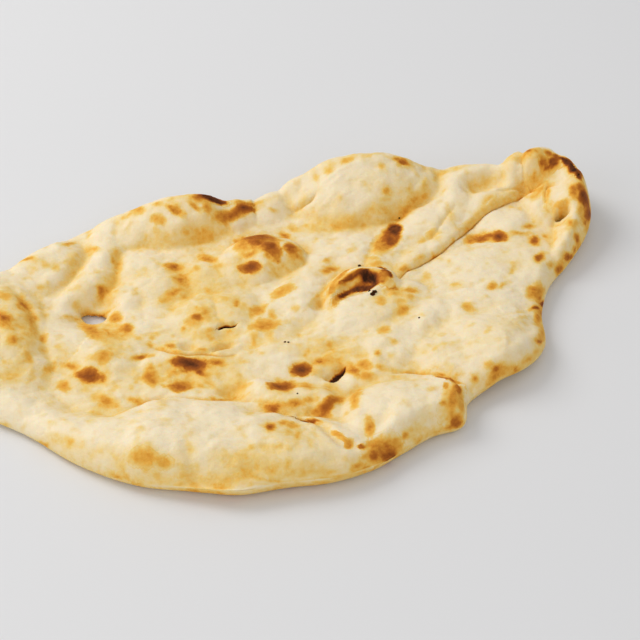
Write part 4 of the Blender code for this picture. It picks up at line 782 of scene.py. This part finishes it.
# ---------------------------------------------------------------- browning
def marks(xy, table, seed):
    """Browned marks (x, y, half length, half width, turn, tone): how far inside a mark each place is, in mm, and how dark the mark is there."""
    inside = np.full(len(xy), -6.0)
    dark, weight = np.zeros(len(xy)), np.full(len(xy), 1e-9)
    ragged = noise(xy[:, 0], xy[:, 1], 9, seed) * 0.3 + noise(xy[:, 0], xy[:, 1], 4.2, seed + 1) * 0.24 + noise(xy[:, 0], xy[:, 1], 2.1, seed + 2) * 0.14
    sway = np.stack([noise(xy[:, 0], xy[:, 1], 12, seed + 3), noise(xy[:, 0], xy[:, 1], 12, seed + 4)], axis=1) * 2.0
    at = xy + sway
    for x, y, long_r, short_r, turn, tone in table:
        near = np.flatnonzero(np.abs(xy - (x, y)).max(1) < long_r + 9)
        c, s = math.cos(math.radians(turn)), math.sin(math.radians(turn))
        u = ((at[near, 0] - x) * c + (at[near, 1] - y) * s) / long_r
        v = (-(at[near, 0] - x) * s + (at[near, 1] - y) * c) / short_r
        ratio = np.hypot(u, v)
        within = (1.06 - ratio - ragged[near] * (0.8 if short_r > 2.5 else 0.55)) * min(short_r, 7)
        inside[near] = np.maximum(inside[near], within)
        share = np.exp(np.clip(within, -6, 4) * 2.2)
        dark[near] += share * tone * (0.66 + 0.3 * np.clip(1 - (ratio / 0.95) ** 1.6, 0, 1))
        weight[near] += share
    return inside, dark / weight


def paint(xy, table, mark, tone, gold_and_painted_shade):
    """Soft patches laid one over another (x, y, half length, half width, turn, tone), so that a pale one can lie on a dark one."""
    ragged = noise(xy[:, 0], xy[:, 1], 5, 81) * 0.14 + noise(xy[:, 0], xy[:, 1], 2.2, 82) * 0.1
    for x, y, long_r, short_r, turn, value in table:
        near = np.flatnonzero(np.abs(xy - (x, y)).max(1) < long_r + 4)
        c, s = math.cos(math.radians(turn)), math.sin(math.radians(turn))
        u = ((xy[near, 0] - x) * c + (xy[near, 1] - y) * s) / long_r
        v = (-(xy[near, 0] - x) * s + (xy[near, 1] - y) * c) / short_r
        share = np.clip((1.25 - np.hypot(u, v) - ragged[near]) / (0.45 if short_r < 2.5 else 0.6), 0, 1)
        under = np.where(mark[near] > 0, tone[near], gold_and_painted_shade[near])
        tone[near] = np.where(share > 0, under + (value - under) * share, tone[near])
        mark[near] = np.where(share > 0, np.maximum(mark[near], 2.5), mark[near])
    return mark, tone


def washes(xy, table):
    """The sum of soft areas (x, y, half length, half width, turn, strength), their borders swaying."""
    out = np.zeros(len(xy))
    at = xy + np.stack([noise(xy[:, 0], xy[:, 1], 26, 51), noise(xy[:, 0], xy[:, 1], 26, 52)], axis=1) * 7
    for x, y, long_r, short_r, turn, strength in table:
        c, s = math.cos(math.radians(turn)), math.sin(math.radians(turn))
        u = ((at[:, 0] - x) * c + (at[:, 1] - y) * s) / long_r
        v = (-(at[:, 0] - x) * s + (at[:, 1] - y) * c) / short_r
        out += strength * np.exp(-((u * u + v * v) ** 1.2) * 0.9)
    return out


def smoothed(values, edges, rounds):
    """The values averaged with their neighbours along the mesh's edges, so many times over."""
    count = np.bincount(edges.ravel(), minlength=len(values))
    out = values.copy()
    for _ in range(rounds):
        total = np.bincount(edges[:, 0], out[edges[:, 1]], len(values)) + np.bincount(edges[:, 1], out[edges[:, 0]], len(values))
        out = 0.5 * out + 0.5 * total / np.maximum(count, 1)
    return out


def add_values(mesh, name, values):
    mesh.attributes.new(name, "FLOAT", "POINT").data.foreach_set("value", np.asarray(values, np.float32))


# ---------------------------------------------------------------- the skin
points, faces, plan, on_top = bread_mesh(TOP_STEP, UNDER_STEP, EDGE_STEP, LIP_STEP, 0.4)
skin = bpy.data.meshes.new("naan_skin")
skin.from_pydata((points / 1000).tolist(), [], faces.tolist())
skin.update()
skin.shade_smooth()
bread = bpy.data.objects.new("naan_skin", skin)
bpy.context.scene.collection.objects.link(bread)

links = np.zeros(len(skin.edges) * 2, np.int32)
skin.edges.foreach_get("vertices", links)
links = links.reshape(-1, 2)
height = points[:, 2]
wide, narrow = smoothed(height, links, 160), smoothed(height, links, 24)
hollow = np.clip((wide - height) / 4.5, -1, 1) * 0.6 + np.clip((narrow - height) / 1.2, -1, 1) * 0.4
upward = np.zeros(len(skin.vertices) * 3, np.float32)
skin.vertices.foreach_get("normal", upward)
steep = smoothed(1 - upward[2::3].astype(float), links, 6)
patch = noise(plan[:, 0], plan[:, 1], 40, 61) * 0.6 + noise(plan[:, 0], plan[:, 1], 15, 62) * 0.5
freckle = noise(plan[:, 0], plan[:, 1], 8, 63) + 0.6 * noise(plan[:, 0], plan[:, 1], 4.2, 64)
# golden dough with painted shade: the areas named above, then the flanks of the bubbles and the hollows, tinted golden
# both as yellower dough and as painted shade, and some mottling
wash_and_painted_shade = washes(plan, GOLDEN_AND_PAINTED_SHADE)
gold_and_painted_shade = wash_and_painted_shade + np.clip((steep - 0.05) / 0.35, 0, 1) * 0.08 + np.clip(hollow + 0.1, 0, 1) * 0.17
gold_and_painted_shade = gold_and_painted_shade * (1 + 0.65 * patch) + patch * 0.05 + np.clip(freckle - 0.28 + 0.5 * patch, 0, 0.6) * 0.24
gold_and_painted_shade = np.where(on_top, np.clip(gold_and_painted_shade, 0, 0.42), np.clip(0.21 + 0.08 * patch + 0.8 * wash_and_painted_shade, 0.05, 0.42))
mark, tone = marks(plan, SPOTS, 40)
mark, tone = paint(plan, PATCHES, mark, tone, gold_and_painted_shade)
painted_tear_shade = np.zeros(len(plan))
for depth, width, _, _, _, path in CREASES:
    if depth > 5:  # painted shade: dark inside a deep tear, in place of its shadow
        away, _, share, _, _ = near_path(plan, refine(path))
        half = max(width, 1.1) * np.sqrt(np.clip(1 - (2 * share - 1) ** 2, 0, 1)) + 0.01
        painted_tear_shade = np.maximum(painted_tear_shade, np.clip(3.0 - 2.6 * away / half, 0, 1))
below = noise(plan[:, 0], plan[:, 1], 24, 71) + 0.7 * noise(plan[:, 0], plan[:, 1], 9, 72)
mark = np.where(on_top, mark, np.clip((below - 0.3) * 9, -6, 5) - 6 * np.clip(height / 2, 0, 1))
tone = np.where(on_top, tone, np.clip(0.35 + below * 0.5, 0.2, 0.72))
add_values(skin, "mark", mark)
add_values(skin, "tone", tone)
add_values(skin, "gold_and_painted_shade", gold_and_painted_shade)
add_values(skin, "painted_tear_shade", np.where(on_top, painted_tear_shade, 0))
add_values(skin, "hollow", hollow)


# ---------------------------------------------------------------- materials
def linear(r, g, b):
    """A screen colour, 0 to 255, as the linear colour the nodes take."""
    return tuple((c / 255 / 12.92) if c <= 10 else ((c / 255 + 0.055) / 1.055) ** 2.4 for c in (r, g, b)) + (1.0,)


class Nodes:
    """A short way to build a material's node tree."""

    def __init__(self, name):
        self.material = bpy.data.materials.new(name)
        self.material.use_nodes = True
        self.tree = self.material.node_tree
        self.bsdf = self.tree.nodes["Principled BSDF"]

    def add(self, kind, settings=None, **inputs):
        node = self.tree.nodes.new(kind)
        for key, value in (settings or {}).items():
            setattr(node, key, value)
        for key, value in inputs.items():
            self.put(node, key, value)
        return node

    def put(self, node, key, value):
        socket = node.inputs[int(key[1:])] if key[0] == "_" and key[1:].isdigit() else node.inputs[key.replace("_", " ")]
        if hasattr(value, "is_output") or isinstance(value, bpy.types.NodeSocket):
            self.tree.links.new(value, socket)
        else:
            socket.default_value = value

    def value(self, name):
        return self.add("ShaderNodeAttribute", {"attribute_name": name}).outputs["Fac"]

    def math(self, what, a, b=0.0, clamp=False):
        return self.add("ShaderNodeMath", {"operation": what, "use_clamp": clamp}, _0=a, _1=b).outputs[0]

    def noise(self, where, scale, detail=2.0, rough=0.5):
        return self.add("ShaderNodeTexNoise", None, Vector=where, Scale=scale, Detail=detail, Roughness=rough).outputs["Fac"]

    def range(self, value, a, b, c, d):
        return self.add("ShaderNodeMapRange", {"clamp": True}, Value=value, From_Min=a, From_Max=b, To_Min=c, To_Max=d).outputs[0]

    def mix(self, how, share, a, b):
        node = self.add("ShaderNodeMix", {"data_type": "RGBA", "blend_type": how, "clamp_factor": True})
        self.put(node, "_0", share)
        self.put(node, "_6", a)
        self.put(node, "_7", b)
        return node.outputs[2]

    def ramp(self, value, stops):
        node = self.add("ShaderNodeValToRGB", None, Fac=value)
        band = node.color_ramp
        band.interpolation = "LINEAR"
        while len(band.elements) < len(stops):
            band.elements.new(0.5)
        for element, (at, colour) in zip(band.elements, stops):
            element.position, element.color = at, linear(*colour)
        return node.outputs["Color"]


def crust_material():
    m = Nodes("crust_baked")
    where = m.add("ShaderNodeTexCoord").outputs["Object"]
    fine = m.noise(where, 900.0, 3.0, 0.6)
    medium = m.noise(where, 330.0, 3.0, 0.6)
    broad = m.noise(where, 120.0, 4.0, 0.6)
    mark, tone, gold_and_painted_shade, hollow = (m.value(name) for name in ("mark", "tone", "gold_and_painted_shade", "hollow"))
    grain = m.math("ADD", m.math("MULTIPLY", m.math("SUBTRACT", fine, 0.5), 1.6), m.math("MULTIPLY", m.math("SUBTRACT", medium, 0.5), 3.0))
    # mottling of the pale dough, stronger where the golden tone with its painted shade is strong
    mottle = m.math("MULTIPLY", m.range(broad, 0.48, 0.62, -0.05, 0.11), m.range(gold_and_painted_shade, 0.02, 0.3, 0.25, 0.85))
    pale = m.math("ADD", gold_and_painted_shade, mottle)
    pale = m.math("ADD", pale, m.math("MULTIPLY", m.math("SUBTRACT", medium, 0.5), m.range(gold_and_painted_shade, 0.0, 0.3, 0.08, 0.24)))
    # a golden ring round each mark, then the mark itself, its border broken up finer than the mesh can hold
    ring = m.math("MULTIPLY", m.range(m.math("ADD", mark, m.math("MULTIPLY", grain, 0.7)), -3.2, 0.2, 0.0, 0.3), tone)
    pale = m.math("ADD", pale, ring)
    edge = m.math("ADD", mark, m.math("MULTIPLY", grain, 0.55))
    body = m.range(edge, -1.0, 0.8, 0.0, 1.0)
    dark = m.math("ADD", tone, m.math("MULTIPLY", m.math("SUBTRACT", medium, 0.5), 0.34))
    browned = m.math("ADD", m.math("MULTIPLY", pale, m.math("SUBTRACT", 1.0, body)), m.math("MULTIPLY", dark, body), True)
    # painted shade: the insides of the deep tears coloured dark, in place of their shadow
    browned = m.math("MAXIMUM", browned, m.value("painted_tear_shade"))
    colour = m.ramp(browned, BAKE)
    # flour caught on the heights
    flour = m.math("MULTIPLY", m.range(medium, 0.5, 0.68, 0.0, 0.4), m.range(hollow, 0.1, -0.5, 0.0, 1.0))
    flour = m.math("MULTIPLY", flour, m.range(browned, 0.05, 0.25, 1.0, 0.0))
    final = m.mix("MIX", flour, colour, linear(*FLOUR))
    m.put(m.bsdf, "Base Color", final)
    m.put(m.bsdf, "Roughness", m.math("ADD", m.range(browned, 0.3, 0.9, 0.72, 0.5), m.math("MULTIPLY", fine, 0.12)))
    m.put(m.bsdf, "Specular IOR Level", m.range(browned, 0.25, 0.7, 0.22, 0.05))
    m.put(m.bsdf, "Subsurface Weight", m.range(browned, 0.3, 0.75, 0.18, 0.0))
    m.bsdf.inputs["Subsurface Radius"].default_value = (1.0, 0.55, 0.25)
    m.bsdf.inputs["Subsurface Scale"].default_value = 0.005
    relief_map = m.math("ADD", m.math("MULTIPLY", medium, 0.75), m.math("MULTIPLY", fine, 0.35))
    # short wrinkles running along the bread
    drawn = m.add("ShaderNodeMapping", None, Vector=where, Rotation=(0.0, 0.0, 0.35), Scale=(0.3, 1.0, 1.0)).outputs[0]
    relief_map = m.math("ADD", relief_map, m.math("MULTIPLY", m.noise(drawn, 420.0, 3.0, 0.55), 0.8))
    relief_map = m.math("SUBTRACT", relief_map, m.math("MULTIPLY", m.range(browned, 0.45, 0.95, 0.0, 1.0), 0.25))
    bump = m.add("ShaderNodeBump", None, Strength=0.65, Distance=0.0007, Height=relief_map)
    m.put(m.bsdf, "Normal", bump.outputs[0])
    return m.material


def char_material():
    m = Nodes("char_black")
    where = m.add("ShaderNodeTexCoord").outputs["Object"]
    grain = m.noise(where, 2500.0, 2.0, 0.6)
    m.put(m.bsdf, "Base Color", m.ramp(grain, [(0.3, (34, 20, 10)), (0.75, (84, 50, 26))]))
    m.bsdf.inputs["Roughness"].default_value = 0.95
    m.bsdf.inputs["Specular IOR Level"].default_value = 0.0
    return m.material


skin.materials.append(crust_material())
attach(bread, "root")
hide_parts("naan")


# ---------------------------------------------------------------- burnt flecks lying on the crust
def flecks(table, name):
    """Small burnt crumbs, each a rough flattened pebble set just into the skin."""
    from mathutils.bvhtree import BVHTree

    tree = BVHTree.FromPolygons((points / 1000).tolist(), faces.tolist())
    verts, tris = [], []
    for n, (x, y, size) in enumerate(table):
        place = tree.ray_cast(Vector(((x - CENTRE[0]) / 1000, (y - CENTRE[1]) / 1000, 0.2)), Vector((0, 0, -1)))
        if place[0] is None:
            continue
        up = place[1].normalized()
        turn = up.to_track_quat("Z", "Y").to_matrix()
        start = len(verts)
        rings, around = 5, 9
        for i in range(rings + 1):
            lat = math.pi * i / rings
            for j in range(around):
                lon = 2 * math.pi * j / around
                k = np.array([n * 31 + i]), np.array([j if 0 < i < rings else 0])
                rough = 0.72 + 0.5 * float(hash01(k[0], k[1], 91)[0])
                p = Vector((math.sin(lat) * math.cos(lon) * rough, math.sin(lat) * math.sin(lon) * rough * 0.75, math.cos(lat) * 0.45))
                verts.append(place[0] + turn @ (p * size / 2000) + up * size * 0.00008)
        for i in range(rings):
            for j in range(around):
                a, b = start + i * around + j, start + i * around + (j + 1) % around
                c, d = a + around, b + around
                if i > 0:
                    tris.append((a, c, b))
                if i < rings - 1:
                    tris.append((b, c, d))
    mesh = bpy.data.meshes.new(name)
    mesh.from_pydata([tuple(v) for v in verts], [], tris)
    mesh.update()
    piece = bpy.data.objects.new(name, mesh)
    bpy.context.scene.collection.objects.link(piece)
    import bmesh

    bm = bmesh.new()
    bm.from_mesh(mesh)
    bmesh.ops.remove_doubles(bm, verts=bm.verts, dist=1e-6)
    bmesh.ops.recalc_face_normals(bm, faces=bm.faces)
    bm.to_mesh(mesh)
    bm.free()
    mesh.materials.append(char_material())
    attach(piece, "root")
    return piece


flecks(FLECKS, "burnt_flecks")

# ---------------------------------------------------------------- studio
CAMERA_TURN, CAMERA_TILT, CAMERA_FAR, CAMERA_LENS = math.radians(23), math.radians(42), 1.1, 99.0
AIM = Vector((0.007, -0.0092, 0.010))


def beside_camera(x, y, z):
    """A place given by how far it is right of, beyond and above the middle, as the camera sees it."""
    c, s = math.cos(CAMERA_TURN), math.sin(CAMERA_TURN)
    return Vector((c * x + s * y, -s * x + c * y, z))


floor_mesh = bpy.data.meshes.new("floor")
floor_mesh.from_pydata([(-4, -4, 0), (4, -4, 0), (4, 4, 0), (-4, 4, 0)], [], [(0, 1, 2, 3)])
floor = bpy.data.objects.new("floor", floor_mesh)
bpy.context.scene.collection.objects.link(floor)
paint = Nodes("floor_pale")
paint.bsdf.inputs["Base Color"].default_value = linear(*FLOOR)
paint.bsdf.inputs["Roughness"].default_value = 0.9
paint.bsdf.inputs["Specular IOR Level"].default_value = 0.1
floor_mesh.materials.append(paint.material)


def softbox(name, place, aim, size, power, colour):
    light = bpy.data.lights.new(name, "AREA")
    light.shape, light.size, light.size_y, light.energy, light.color = "RECTANGLE", size[0], size[1], power, colour
    lamp = bpy.data.objects.new(name, light)
    bpy.context.scene.collection.objects.link(lamp)
    lamp.location = place
    lamp.rotation_euler = (place - aim).to_track_quat("Z", "Y").to_euler()
    return lamp


for name, (x, y, z), size, power, colour in LIGHTS:
    softbox(name, beside_camera(x, y, z), Vector((0, 0, 0)), size, power, colour)

world = bpy.data.worlds.new("studio")
bpy.context.scene.world = world
world.use_nodes = True
world.node_tree.nodes["Background"].inputs["Color"].default_value = SKY[0]
world.node_tree.nodes["Background"].inputs["Strength"].default_value = SKY[1]

camera_data = bpy.data.cameras.new("camera")
camera_data.sensor_width, camera_data.lens = 36.0, CAMERA_LENS
camera = bpy.data.objects.new("camera", camera_data)
bpy.context.scene.collection.objects.link(camera)
ahead = Vector((math.sin(CAMERA_TURN) * math.cos(CAMERA_TILT), math.cos(CAMERA_TURN) * math.cos(CAMERA_TILT), -math.sin(CAMERA_TILT)))
camera.location = AIM - ahead * CAMERA_FAR
camera.rotation_euler = (-ahead).to_track_quat("Z", "Y").to_euler()
bpy.context.scene.camera = camera
bpy.context.scene.view_settings.view_transform = "Standard"
bpy.context.scene.view_settings.look = "None"
